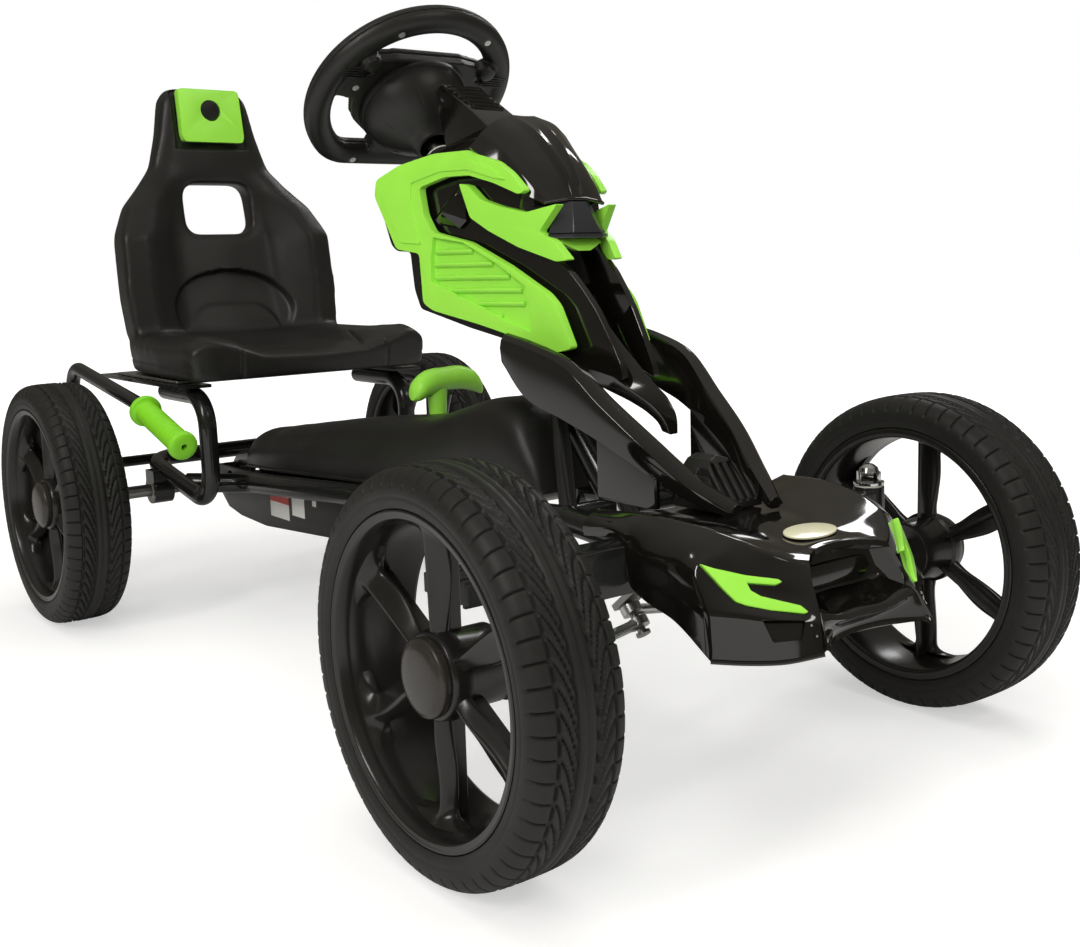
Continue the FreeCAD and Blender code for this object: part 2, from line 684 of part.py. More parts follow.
def pedal(side):
    """Block pedal with ribs across its treads and a bore for the spindle."""
    centre = crank_end(side)
    low, high = sorted((side * 98, side * 160))
    body = box_between((low, centre.y - 36, centre.z - 9), (high, centre.y + 36, centre.z + 9))
    ribs = []
    for k in range(-2, 3):
        y = centre.y + 14 * k
        ribs.append(box_between((low, y - 2.5, centre.z - 12), (high, y + 2.5, centre.z + 12)))
    barrel = cylinder(V(low, centre.y, centre.z), V(high, centre.y, centre.z), 13)
    solid = body.fuse(ribs + [barrel])
    bore = cylinder(V(low - 1, centre.y, centre.z), V(high + 1, centre.y, centre.z), 6 + RUNNING_CLEARANCE)
    return solid.cut(bore).removeSplitter()


def rear_axle():
    """Straight rear axle."""
    reach = TRACK_REAR_HALF + HUB_OUTER_END + 7
    return cylinder(V(-reach, AXLE_Y, WHEEL_RADIUS), V(reach, AXLE_Y, WHEEL_RADIUS), AXLE_RADIUS)


def rear_sprocket():
    """Rear sprocket on its hub, keyed to the axle."""
    centre = V(CHAIN_X, AXLE_Y, WHEEL_RADIUS)
    hub = cylinder(centre - V(9, 0, 0), centre + V(9, 0, 0), 17)
    bore = cylinder(centre - V(10, 0, 0), centre + V(10, 0, 0), AXLE_RADIUS)
    return toothed_disc(SPROCKET_TEETH, 4, centre).fuse(hub).cut(bore).removeSplitter()


def belt_tangents(front, front_radius, rear, rear_radius):
    """Ends of the two straight runs of a belt round two pulleys, upper run first."""
    span = rear.sub(front)
    lean = atan2(span.z, span.y)
    spread = (front_radius - rear_radius) / span.Length
    turn = pi / 2 - atan2(spread, sqrt(1 - spread * spread))
    runs = []
    for angle in (lean + turn, lean - turn):
        direction = V(0, cos(angle), sin(angle))
        runs.append((front + direction * front_radius, rear + direction * rear_radius))
    return runs


def belt_solid(x_low, x_high, grow):
    """Solid inside a belt round both sprockets, drawn outside their pitch circles by grow."""
    front = crank_axis_point(x_low)
    rear = V(x_low, AXLE_Y, WHEEL_RADIUS)
    front_radius = pitch_radius(RING_TEETH) + grow
    rear_radius = pitch_radius(SPROCKET_TEETH) + grow
    upper, lower = belt_tangents(front, front_radius, rear, rear_radius)
    away = rear.sub(front).normalize()
    edges = [
        Part.LineSegment(upper[0], upper[1]).toShape(),
        Part.Arc(upper[1], rear + away * rear_radius, lower[1]).toShape(),
        Part.LineSegment(lower[1], lower[0]).toShape(),
        Part.Arc(lower[0], front - away * front_radius, upper[0]).toShape(),
    ]
    return Part.Face(Part.Wire(edges)).extrude(V(x_high - x_low, 0, 0))


def chain():
    """Chain loop: two lines of side plates joined by rollers along the straight runs."""
    half_plate = 4.0
    sides = []
    for low, high in ((-5.0, -3.6), (3.6, 5.0)):
        outside = belt_solid(CHAIN_X + low, CHAIN_X + high, half_plate)
        sides.append(outside.cut(belt_solid(CHAIN_X + low, CHAIN_X + high, -half_plate)))
    front = crank_axis_point(CHAIN_X)
    rear = V(CHAIN_X, AXLE_Y, WHEEL_RADIUS)
    rollers = []
    roller_count = 20
    for start, end in belt_tangents(front, pitch_radius(RING_TEETH), rear, pitch_radius(SPROCKET_TEETH)):
        for k in range(1, roller_count):
            place = start + end.sub(start) * (0.06 + 0.88 * k / roller_count)
            rollers.append(cylinder(place - V(5, 0, 0), place + V(5, 0, 0), 3.4))
    return sides[0].fuse([sides[1]] + rollers)


def chain_case():
    """Trough under the chain, open at the top."""
    outer = [(482, 168), (485, 148), (476, 126), (456, 111), (416, 104), (339, 101), (185, 110), (52, 120)]
    outer += [(-110, 132), (-165, 131), (-208, 142), (-236, 166), (-242, 192), (-120, 192), (60, 185)]
    outer += [(300, 172), (400, 168)]
    inner = [(479, 180), (481, 148), (472, 128), (454, 114), (415, 107.5), (339, 104), (185, 113), (52, 123)]
    inner += [(-110, 134.5), (-165, 134), (-207, 144.5), (-233, 167), (-239, 210), (-120, 210), (60, 200)]
    inner += [(300, 180), (400, 180)]
    case = side_plate(outer, -50, -8).cut(side_plate(inner, -47, -11))
    axle_hole = cylinder(V(-60, AXLE_Y, WHEEL_RADIUS), V(0, AXLE_Y, WHEEL_RADIUS), 12)
    crank_hole = cylinder(crank_axis_point(-60), crank_axis_point(0), 12)
    return case.cut(axle_hole).cut(crank_hole).removeSplitter()


def console():
    """Cover over the chain, with a round hump over the chainring."""
    half_rows = []
    stations = [
        (400, 172, 194, 200, 44), (368, 176, 208, 217, 51), (300, 180, 216, 226, 56),
        (200, 186, 227, 238, 57), (100, 192, 237, 247, 57), (0, 198, 247, 257, 57),
        (-60, 201, 256, 267, 56), (-110, 204, 270, 281, 53), (-160, 206, 278, 290, 49),
        (-205, 206, 268, 281, 46), (-237, 204, 246, 256, 44), (-252, 202, 224, 228, 42),
    ]
    for y, low, edge, top, half_width in stations:
        row = [(0, y, top), (half_width * 0.6, y, top - (top - edge) * 0.15)]
        row += [(half_width * 0.88, y, edge), (half_width, y, edge - 12), (half_width, y, low)]
        half_rows.append(row)
    end_y, end_low = -255, 202
    half_rows.append([(w, end_y, end_low + 14 - w / 30) for w in (0, 25, 34, 40)] + [(41, end_y, end_low)])
    shell = grid_shell(symmetric_rows(half_rows), 2.5)
    slot = box_between((30, 18, 215), (50, 80, 270))
    crank_hole = cylinder(crank_axis_point(-70), crank_axis_point(70), 12)
    return shell.cut(slot).cut(crank_hole)


# ---------------------------------------------------------------- levers

def brake_lever():
    """Bent hand lever with a hub at its pivot and a plate behind the tyre."""
    x = BRAKE_PIVOT.x
    side_points = [(500, 183), (590, 186), (594, 311)]
    path = [V(x, y, z) for y, z in side_points] + [BRAKE_GRIP_START, BRAKE_LEVER_END]
    tube = bent_tube(path, 9, 32)
    hub = cylinder(BRAKE_PIVOT - V(8, 0, 0), BRAKE_PIVOT + V(8, 0, 0), 15)
    plate = brake_arc(160, 163.5, x, -298)
    web = box_between((x - 12, 585, 176), (x, 604, 196))
    bore = cylinder(BRAKE_PIVOT - V(20, 0, 0), BRAKE_PIVOT + V(20, 0, 0), 7 + RUNNING_CLEARANCE)
    return tube.fuse(hub).fuse(web).fuse(plate).cut(bore)


def brake_arc(inner, outer, x_from, x_to):
    """Arc-shaped block round the rear tyre, between two radii."""
    low_turn, high_turn = radians(2), radians(18)
    centre = V(x_to, AXLE_Y, WHEEL_RADIUS)
    middle = (low_turn + high_turn) / 2
    spots = {}
    for name, radius in (("in", inner), ("out", outer)):
        for place, turn in (("low", low_turn), ("mid", middle), ("high", high_turn)):
            spots[name, place] = centre + V(0, radius * cos(turn), radius * sin(turn))
    edges = [
        Part.Arc(spots["in", "low"], spots["in", "mid"], spots["in", "high"]).toShape(),
        Part.LineSegment(spots["in", "high"], spots["out", "high"]).toShape(),
        Part.Arc(spots["out", "high"], spots["out", "mid"], spots["out", "low"]).toShape(),
        Part.LineSegment(spots["out", "low"], spots["in", "low"]).toShape(),
    ]
    return Part.Face(Part.Wire(edges)).extrude(V(x_from - x_to, 0, 0))


def brake_grip():
    """Rubber grip with a flange at each end and a hole in its tip."""
    unit = BRAKE_LEVER_END.sub(BRAKE_GRIP_START).normalize()
    start = BRAKE_GRIP_START + unit * 24
    tip = BRAKE_LEVER_END + unit * 13
    body = cylinder(start, tip, 14)
    flange = cylinder(start, start + unit * 7, 19)
    knob = cylinder(tip - unit * 9, tip, 17)
    lever = cylinder(start - unit * 10, BRAKE_LEVER_END, 9)
    hole = cylinder(tip - unit * 5, tip + unit, 3.5)
    return body.fuse([flange, knob]).cut(lever).cut(hole).removeSplitter()


def gear_lever():
    """Stem of the gear lever on its pivot ring."""
    top = V(GEAR_PIVOT.x, 33, 288)
    hub = cylinder(GEAR_PIVOT - V(6, 0, 0), GEAR_PIVOT + V(6, 0, 0), 11)
    foot = GEAR_PIVOT + top.sub(GEAR_PIVOT).normalize() * 8
    stem = cylinder(foot, top, 5.8)
    bore = cylinder(GEAR_PIVOT - V(8, 0, 0), GEAR_PIVOT + V(8, 0, 0), 5 + RUNNING_CLEARANCE)
    return stem.fuse(hub).cut(bore).removeSplitter()


def gear_handle():
    """T-shaped handle across the top of the gear lever."""
    centre = V(GEAR_PIVOT.x, 27, 306)
    foot = V(GEAR_PIVOT.x, 45, 259)
    stem_top = V(GEAR_PIVOT.x, 33, 288)
    bar = bent_tube([centre + V(-46, 0, -9), centre, centre + V(46, 0, -5)], 13, 60)
    ends = [Part.makeSphere(13, centre + V(-46, 0, -9)), Part.makeSphere(13, centre + V(46, 0, -5))]
    neck = cylinder(foot, centre, 10)
    return bar.fuse(ends + [neck]).cut(cylinder(GEAR_PIVOT, stem_top, 5.8)).removeSplitter()


# ---------------------------------------------------------------- seat

def seat_section(z, half_width, centre_y, edge_y, rear_y):
    """Closed outline of the seat back at one height."""
    points = [(-half_width, edge_y), (-half_width * 0.78, edge_y - 8), (-half_width * 0.45, centre_y + 2)]
    points += [(0, centre_y), (half_width * 0.45, centre_y + 2), (half_width * 0.78, edge_y - 8)]
    points += [(half_width, edge_y), (half_width * 0.97, rear_y - 6), (half_width * 0.6, rear_y)]
    points += [(-half_width * 0.6, rear_y), (-half_width * 0.97, rear_y - 6)]
    outline = [V(x, y, z) for x, y in points]
    return Part.makePolygon(outline + [outline[0]])


def seat_back():
    """Bucket back: wide at the ribs, narrow at the head, with a hand hole through it."""
    sections = [
        (322, 140, 496, 482, 545), (350, 150, 503, 488, 550), (400, 154, 516, 496, 556),
        (480, 152, 534, 506, 568), (520, 134, 541, 528, 578), (548, 108, 544, 546, 586),
        (575, 86, 545, 558, 594), (620, 72, 549, 563, 602), (668, 62, 556, 568, HALF_LENGTH),
        (684, 50, 560, 572, HALF_LENGTH),
    ]
    body = Part.makeLoft([seat_section(*section) for section in sections], True, True)
    hole = box_between((-48, 500, 483), (48, 640, 552))
    upright = [edge for edge in hole.Edges if abs(edge.Vertexes[0].Y - edge.Vertexes[1].Y) > 100]
    return body.cut(hole.makeFillet(16, upright))


def seat_base():
    """Seat pan: low at the front edge, with raised thigh ridges and a hollow between them."""
    half_rows = [
        [(0, 262, 326), (70, 262, 328), (108, 263, 341), (140, 266, 350), (163, 272, 336)],
        [(0, 290, 331), (70, 290, 334), (108, 290, 351), (140, 290, 357), (166, 292, 342)],
        [(0, 380, 334), (70, 380, 336), (108, 380, 346), (140, 380, 352), (166, 380, 338)],
        [(0, 470, 342), (70, 470, 344), (108, 470, 350), (140, 470, 352), (158, 470, 340)],
        [(0, 530, 352), (70, 530, 352), (108, 530, 354), (136, 530, 352), (148, 528, 340)],
    ]
    rows = symmetric_rows(half_rows)
    floor = [[V(p.x * 0.97, max(p.y, 268), SEAT_BOTTOM) for p in row] for row in rows]
    return grid_solid(rows, floor)


def seat_shell(badge):
    """One moulded seat: pan and back together, with a pocket for the head panel."""
    return seat_base().fuse(seat_back()).cut(badge)


def head_panel():
    """Coloured panel let into the top of the seat back."""
    outline = [(-34, 610), (34, 610), (41, 619), (45, 683), (-45, 683), (-41, 619)]
    face = polygon_face([V(x, 544 + (z - 610) * 0.156, z) for x, z in outline])
    panel = face.extrude(V(0, 14, 0))
    button_centre = V(0, 550, 650)
    return panel.cut(cylinder(button_centre - V(0, 20, 0), button_centre + V(0, 2.5, 0), 9))


# ---------------------------------------------------------------- fairing

def side_panel():
    """Right coloured side panel: a hook at the top and a louvred blade below."""
    outline = [(-52, 519), (-84, 531), (-132, 539), (-177, 539), (-213, 526), (-230, 515), (-248, 498)]
    outline += [(-241, 495), (-210, 507), (-178, 516), (-146, 516), (-113, 508), (-120, 482)]
    outline += [(-132, 465), (-180, 454), (-231, 431), (-277, 406), (-288, 396), (-308, 358)]
    outline += [(-290, 354), (-245, 366), (-195, 378), (-136, 390), (-122, 397), (-115, 445)]
    outline += [(-83, 450), (-50, 503)]
    return leaning_plate(outline, PANEL_PLANE, 5)


def fairing_cheek():
    """Right half of the black fairing, with its half of the chin."""
    outline = [(-38, 510), (-62, 454), (-70, 448), (-88, 447), (-95, 410), (-104, 391), (-170, 373)]
    outline += [(-214, 363), (-262, 347), (-312, 340), (-337, 330), (-342, 335), (-322, 369)]
    outline += [(-301, 411), (-287, 433), (-268, 484), (-257, 489), (-227, 518), (-202, 530)]
    outline += [(-165, 533), (-121, 531), (-67, 524), (-40, 516)]
    cheek = leaning_plate(outline, CHEEK_PLANE, 8)
    chin_outline = [(-272, 330), (-323, 314), (-372, 298), (-371, 287), (-385, 282), (-394, 290)]
    chin_outline += [(-388, 312), (-356, 342), (-316, 372), (-290, 380)]
    chin = side_plate(chin_outline, -15, 0)
    bridge = box_between((-32, -318, 352), (-10, -298, 366))
    return cheek.fuse([chin, bridge]).cut(side_panel()).removeSplitter()


def fang_panel():
    """Coloured face piece: two blades that run forwards and down to the lamp."""
    outline = [(-165, 509), (-175, 507), (-190, 493), (-211, 486), (-242, 479), (-280, 484)]
    outline += [(-268, 458), (-277, 450), (-287, 435), (-274, 434), (-232, 448), (-198, 464), (-177, 477)]
    blade = leaning_plate(outline, FANG_PLANE, 6)
    bridge = box_between((-30, -275, 444), (30, -266, 457))
    return blade.fuse([bridge, mirrored(blade)]).removeSplitter()


def headlamp():
    """Dark lamp block, wider at its foot, between the two blades."""
    foot = [(-32, -263), (-11, -284), (11, -284), (32, -263), (20, -250), (-20, -250)]
    head = [(-14, -263), (-5, -275), (5, -275), (14, -263), (10, -252), (-10, -252)]
    sections = []
    for z, outline in ((458, foot), (486, head)):
        sections.append([V(x, y, z) for x, y in outline])
    return faceted_loft(sections)


def hood():
    """Visor over the fairing: a faceted dome that narrows to the front."""
    half_rows = [
        [(0, -184, 573), (18, -184, 571), (34, -186, 566), (50, -185, 555), (62, -182, 541)],
        [(0, -216, 556), (16, -216, 554), (31, -216, 547), (46, -214, 536), (54, -212, 522)],
        [(0, -250, 534), (14, -250, 532), (28, -248, 523), (42, -246, 512), (47, -243, 501)],
        [(0, -277, 491), (12, -277, 491), (24, -276, 490), (36, -274, 489), (42, -270, 488)],
    ]
    return grid_shell(symmetric_rows(half_rows), 3)


def dash():
    """Top deck behind the hood, with a louvred air box in front of the steering wheel."""
    half_rows = [
        [(0, -78, 537), (30, -72, 536), (56, -62, 530), (74, -52, 522)],
        [(0, -108, 550), (30, -106, 549), (54, -100, 542), (66, -96, 532)],
        [(0, -145, 562), (30, -145, 560), (48, -142, 549), (58, -138, 537)],
        [(0, -183, 568), (30, -183, 562), (46, -182, 552), (53, -180, 538)],
    ]
    deck = grid_shell(symmetric_rows(half_rows), 3)
    side = [(-108, 540), (-108, 606), (-122, 608), (-156, 575), (-164, 556)]
    hollow = [(-112, 538), (-112, 598), (-150, 566), (-156, 548)]
    vent = side_plate(side, -33, 33).cut(side_plate(hollow, -29, 29))
    for k in range(5):
        share = k / 5
        y, z = -120 - 34 * share, 607 - 31 * share
        vent = vent.cut(box_between((-24, y - 7, z - 9), (24, y - 4, z + 9)))
    column = cylinder(column_point(40), column_point(160), 22)
    return deck.fuse(vent).cut(column).removeSplitter()


def front_leg():
    """Right leg that carries the fairing down to the nose, with a web to the rail."""
    sections = [
        (-80, -258, 360, -284, 313, 12), (-76, -345, 338, -330, 296, 15), (-66, -392, 297, -380, 272, 17),
        (-50, -440, 264, -428, 247, 17), (-29, -484, 240, -478, 229, 14),
    ]
    corners = []
    for x, top_y, top_z, low_y, low_z, width in sections:
        outer_edge = [V(x, low_y, low_z), V(x, top_y, top_z - 5), V(x + 5, top_y, top_z)]
        inner_edge = [V(x + width, top_y, top_z - 3), V(x + width, low_y, low_z)]
        corners.append(outer_edge + inner_edge)
    leg = faceted_loft(corners)
    web_outline = [(-352, 300), (-352, 232), (-426, 232), (-426, 258), (-385, 288)]
    web = side_plate(web_outline, -58, -52)
    return leg.fuse(web)


# ---------------------------------------------------------------- nose

def nose_cover():
    """Front bumper cover: a shallow valley on top, slanted side blades and an open mouth."""
    half_rows = [
        [(0, -412, 228), (40, -412, 228), (84, -412, 233), (108, -414, 239), (117, -414, 235),
         (122, -411, 227), (122, -411, 223), (121, -411, 219)],
        [(0, -455, 229), (40, -455, 229), (80, -456, 236), (104, -458, 241), (114, -458, 234),
         (121, -456, 226), (121, -456, 222), (120, -456, 219)],
        [(0, -464, 229), (40, -464, 229), (79, -465, 236), (103, -466, 241), (113, -466, 233),
         (120, -465, 218), (121, -464, 202), (120, -464, 188)],
        [(0, -485, 228), (38, -485, 228), (76, -486, 235), (98, -488, 240), (110, -488, 230),
         (120, -486, 214), (121, -483, 198), (120, -479, 180)],
        [(0, -515, 226), (36, -515, 226), (68, -516, 232), (90, -518, 236), (104, -521, 228),
         (117, -516, 213), (120, -514, 190), (119, -512, 170)],
        [(0, -540, 222), (34, -540, 222), (60, -543, 226), (82, -541, 230), (97, -538, 222),
         (112, -531, 214), (118, -545, 182), (116, -546, 147)],
        [(0, -552, 220), (32, -553, 219), (52, -558, 220), (70, -558, 222), (80, -560, 206),
         (86, -562, 195), (100, -566, 182), (100, -566, 147)],
        [(0, -558, 219), (28, -560, 218), (44, -566, 217), (57, -569, 216), (66, -572, 203),
         (72, -577, 187), (80, -586, 178), (82, -587, 149)],
        [(0, -561, 218), (24, -564, 217), (36, -570, 216), (45, -577, 214), (50, -585, 199),
         (53, -592, 187), (56, -599, 173), (60, -604, 154)],
    ]
    mouth_rows = [
        [(0, -561, 218), (24, -564, 217), (45, -577, 214)],
        [(0, -555, 210), (24, -556, 209), (48, -582, 205)],
        [(0, -566, 181), (26, -568, 181), (52, -590, 190)],
        [(0, -597, 173), (28, -597, 173), (55, -596, 179)],
        [(0, -590, 166), (28, -591, 166), (56, -600, 171)],
        [(0, -586, 155), (28, -589, 155), (60, -604, 154)],
    ]
    top = grid_shell(symmetric_rows(half_rows), 3)
    mouth = grid_shell(symmetric_rows(mouth_rows), 2.5)
    tip_base = [V(52, -590, 190), V(60, -601, 170), V(60, -602, 154), V(54, -590, 160)]
    point = V(61, -HALF_LENGTH, 157)
    faces = [(tip_base[k], tip_base[(k + 1) % 4], point) for k in range(4)]
    faces += [(tip_base[0], tip_base[2], tip_base[1]), (tip_base[0], tip_base[3], tip_base[2])]
    tip = closed_mesh_solid(faces)
    return top.fuse([mouth, tip, mirrored(tip)])


def nose_accent():
    """Right coloured forked strip, let into the slanted side of the nose."""
    a, b, c = ACCENT_PLANE
    outline = [(-111.8, 214.8), (-105, 211.5), (-87.6, 206), (-69.7, 202.7), (-68, 200.8), (-72.5, 198.9)]
    outline += [(-88.7, 201), (-88.3, 196), (-83.8, 192), (-63, 185), (-60, 180.7), (-62.7, 179.5)]
    outline += [(-81.4, 182.4), (-94.7, 186.3), (-99.6, 189), (-104, 197.4), (-108, 206.8)]
    face = polygon_face([V(x, a + b * x + c * z, z) for x, z in outline])
    outward = V(b, -1, c).normalize()
    face.translate(outward * -4)
    return face.extrude(outward * 7)


def intake():
    """Ribbed air scoop on the nose between the legs."""
    outline = []
    for k in range(9):
        turn = pi * k / 8
        outline.append(V(27 * cos(turn), -414, 230 + 42 * sin(turn)))
    solid = polygon_face(outline).extrude(V(0, -50, 0))
    slope = Part.makePolygon([V(-40, -432, 280), V(-40, -470, 280), V(-40, -470, 230), V(-40, -432, 280)])
    solid = solid.cut(Part.Face(slope).extrude(V(80, 0, 0)))
    for k in range(-2, 3):
        groove = box_between((k * 9 - 2, -470, 236), (k * 9 + 2, -434, 266))
        solid = solid.cut(groove)
    return solid.removeSplitter()


# ---------------------------------------------------------------- assembly

def wheel_nodes():
    """The four wheels, each piece in its place."""
    nodes = {}
    plain_rim = rim(AXLE_RADIUS)
    bushed_rim = rim(BUSH_RADIUS)
    tyre_shape = tyre()
    cap = hub_cap()
    rear_caps = []
    rear_nuts = []
    for side, side_name in ((1, "left"), (-1, "right")):
        front = V(side * TRACK_FRONT_HALF, -AXLE_Y, WHEEL_RADIUS)
        rear = V(side * TRACK_REAR_HALF, AXLE_Y, WHEEL_RADIUS)
        nodes["tyre_front_" + side_name] = wheel_frame(tyre_shape, front, side)
        nodes["tyre_rear_" + side_name] = wheel_frame(tyre_shape, rear, side)
        nodes["rim_front_" + side_name] = wheel_frame(bushed_rim, front, side)
        nodes["rim_rear_" + side_name] = wheel_frame(plain_rim, rear, side)
        nodes["hub_cap_front_" + side_name] = wheel_frame(cap, front, side)
        nodes["bushes_front_" + side_name] = wheel_frame(wheel_bushes(), front, side)
        rear_caps.append(wheel_frame(cap, rear, side))
        rear_nuts.append(wheel_frame(axle_nut(AXLE_RADIUS), rear, side))
    nodes["hub_caps_rear"] = Part.makeCompound(rear_caps)
    nodes["rear_axle_nuts"] = Part.makeCompound(rear_nuts)
    return nodes


def pair(nodes, name, left):
    """Add a left piece and its mirror image."""
    nodes[name + "_left"] = left
    nodes[name + "_right"] = mirrored(left)


def add_fairing(nodes):
    """Fairing pieces, each trimmed where a neighbour is let into it."""
    panel = side_panel()
    lamp = headlamp()
    fang = fang_panel().cut(lamp)
    cheek = fairing_cheek().cut(fang).cut(lamp).cut(mirrored(lamp))
    top = hood().cut(panel).cut(mirrored(panel))
    nodes["side_panel_right"] = panel
    nodes["side_panel_left"] = mirrored(panel)
    nodes["fairing_right"] = cheek
    nodes["fairing_left"] = mirrored(cheek)
    nodes["fang_panel"] = fang
    nodes["headlamp"] = lamp
    nodes["hood"] = top
    nodes["dash"] = dash().cut(cheek).cut(mirrored(cheek)).cut(top)


def add_nose(nodes):
    """Nose cover with its strips and scoop, and the legs that stand on it."""
    accent = nose_accent()
    beam_gap = box_between((-130, -463, 150), (130, -400, 219))
    nose = nose_cover().cut(beam_gap).cut(accent).cut(mirrored(accent))
    scoop = intake().cut(nose)
    leg = front_leg().cut(nose).cut(mirrored(nose)).cut(scoop)
    nodes["nose_accents"] = Part.makeCompound([accent, mirrored(accent)])
    nodes["nose_cover"] = nose
    nodes["intake"] = scoop
    nodes["front_legs"] = Part.makeCompound([leg, mirrored(leg)])


def all_nodes():
    """Every sub-part by name."""
    nodes = wheel_nodes()
    beam = front_axle_beam()
    hoop = seat_hoop()
    nodes["front_axle_beam"] = beam
    nodes["seat_hoop"] = hoop
    nodes["main_frame"] = main_frame(hoop, beam)
    nodes["steering_bushes"] = steering_bushes()
    pair(nodes, "knuckle", knuckle())
    pair(nodes, "knuckle_nuts", knuckle_nuts())
    nodes["tie_rod_left"] = tie_rod(1, LEFT_ROD_DROP)
    nodes["tie_rod_right"] = tie_rod(-1, RIGHT_ROD_DROP)
    nodes["steering_shaft"] = on_column(steering_shaft())
    for name, shape in steering_wheel_pieces().items():
        nodes[name] = on_column(shape)
    nodes["bearings"] = bearings()
    nodes["seat_plates"] = seat_plates()
    nodes["seat_brackets"] = seat_brackets()
    nodes["rear_axle"] = rear_axle()
    nodes["rear_sprocket"] = rear_sprocket()
    nodes["chain"] = chain()
    nodes["crank"] = crank()
    nodes["pedal_left"] = pedal(1)
    nodes["pedal_right"] = pedal(-1)
    nodes["chain_case"] = chain_case()
    nodes["console"] = console()
    nodes["brake_lever"] = brake_lever()
    nodes["brake_grip"] = brake_grip()
    nodes["brake_pad"] = brake_arc(155, 160, -238, -298)
    nodes["gear_lever"] = gear_lever()
    nodes["gear_handle"] = gear_handle()
    panel = head_panel()
    nodes["seat_shell"] = seat_shell(panel)
    nodes["head_panel"] = panel
    add_fairing(nodes)
    add_nose(nodes)
    return nodes


os.makedirs("parts", exist_ok=True)
for name, shape in all_nodes().items():
    shape.exportStep("parts/" + name + ".step")
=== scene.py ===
"""Looks of the pedal go-kart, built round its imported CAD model. Lengths in the code are millimetres."""
import json
import math

import bmesh
import bpy
import numpy as np
from mathutils import Matrix, Vector


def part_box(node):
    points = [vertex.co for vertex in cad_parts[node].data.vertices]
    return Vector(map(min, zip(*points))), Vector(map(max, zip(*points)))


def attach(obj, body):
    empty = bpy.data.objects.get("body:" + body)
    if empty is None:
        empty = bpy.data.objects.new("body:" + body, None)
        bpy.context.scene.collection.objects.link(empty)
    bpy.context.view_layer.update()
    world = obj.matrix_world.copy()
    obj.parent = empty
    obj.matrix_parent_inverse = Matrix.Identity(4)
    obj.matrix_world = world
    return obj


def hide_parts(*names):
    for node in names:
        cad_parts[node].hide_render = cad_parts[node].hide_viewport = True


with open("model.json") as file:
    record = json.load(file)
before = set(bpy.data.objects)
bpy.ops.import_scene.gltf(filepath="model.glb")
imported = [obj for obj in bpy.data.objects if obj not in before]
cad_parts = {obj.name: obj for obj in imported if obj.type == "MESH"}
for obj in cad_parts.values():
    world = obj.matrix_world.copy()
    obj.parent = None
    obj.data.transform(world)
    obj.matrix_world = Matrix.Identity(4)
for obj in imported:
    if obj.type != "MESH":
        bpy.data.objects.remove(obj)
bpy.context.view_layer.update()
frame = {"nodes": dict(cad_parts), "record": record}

MM = 0.001
NODES = frame["nodes"]
BODY_OF = {n: body for body, names in frame["record"]["behaviour"]["bodies"].items() for n in names}
SLOT_OF = {row["node"]: row["material_slot"] for row in frame["record"]["subparts"]}


# ---------------------------------------------------------------- materials

def preset(node, **values):
    """The node with input sockets set by name, underscores standing for spaces."""
    for key, value in values.items():
        node.inputs[key.replace("_", " ")].default_value = value
    return node


def colour_ramp(tree, *stops):
    """Ramp node through (position, colour) stops, the two ends given first."""
    node = tree.nodes.new("ShaderNodeValToRGB")
    elements = node.color_ramp.elements
    for index, (position, colour) in enumerate(stops):
        element = elements[index] if index < 2 else elements.new(position)
        element.position = position
        element.color = (*colour, 1)
    return node


def plastic(name, colour, rough, rough_spread=0.08, grain=0.0, grain_scale=900.0, coat=0.0,
            metallic=0.0, tint=0.25, wave=0.0, specular=0.5, scratch=0.0):
    """A moulded, painted or plated surface: mottled colour, uneven polish and a fine bump."""
    mat = bpy.data.materials.new(name)
    mat.use_nodes = True
    tree = mat.node_tree
    new, link = tree.nodes.new, tree.links.new
    shader = preset(tree.nodes["Principled BSDF"], Metallic=metallic, Coat_Weight=coat, Coat_Roughness=0.04,
                    Specular_IOR_Level=specular)
    place = new("ShaderNodeTexCoord").outputs["Object"]

    def noise(scale, detail, distortion=0.0):
        node = preset(new("ShaderNodeTexNoise"), Scale=scale, Detail=detail, Distortion=distortion)
        link(place, node.inputs["Vector"])
        return node.outputs["Fac"]

    dark = [c * (1 - tint) for c in colour]
    light = [min(1.0, c * (1 + tint * 0.6)) for c in colour]
    ramp = colour_ramp(tree, (0.3, dark), (0.7, light))
    link(noise(9.0, 5.0, 0.6), ramp.inputs["Fac"])
    link(ramp.outputs["Color"], shader.inputs["Base Color"])

    polish = preset(new("ShaderNodeMapRange"), To_Min=max(0.02, rough - rough_spread),
                    To_Max=rough + rough_spread)
    link(noise(34.0, 6.0), polish.inputs["Value"])
    link(polish.outputs["Result"], shader.inputs["Roughness"])

    last = None
    layers = [(grain, grain_scale, 2.0), (wave, 22.0, 1.0), (scratch, 160.0, 6.0)]
    for strength, scale, detail in layers:
        if strength == 0:
            continue
        bump = preset(new("ShaderNodeBump"), Strength=strength, Distance=0.0004)
        link(noise(scale, detail), bump.inputs["Height"])
        if last is not None:
            link(last, bump.inputs["Normal"])
        last = bump.outputs["Normal"]
    if last is not None:
        link(last, shader.inputs["Normal"])
    return mat


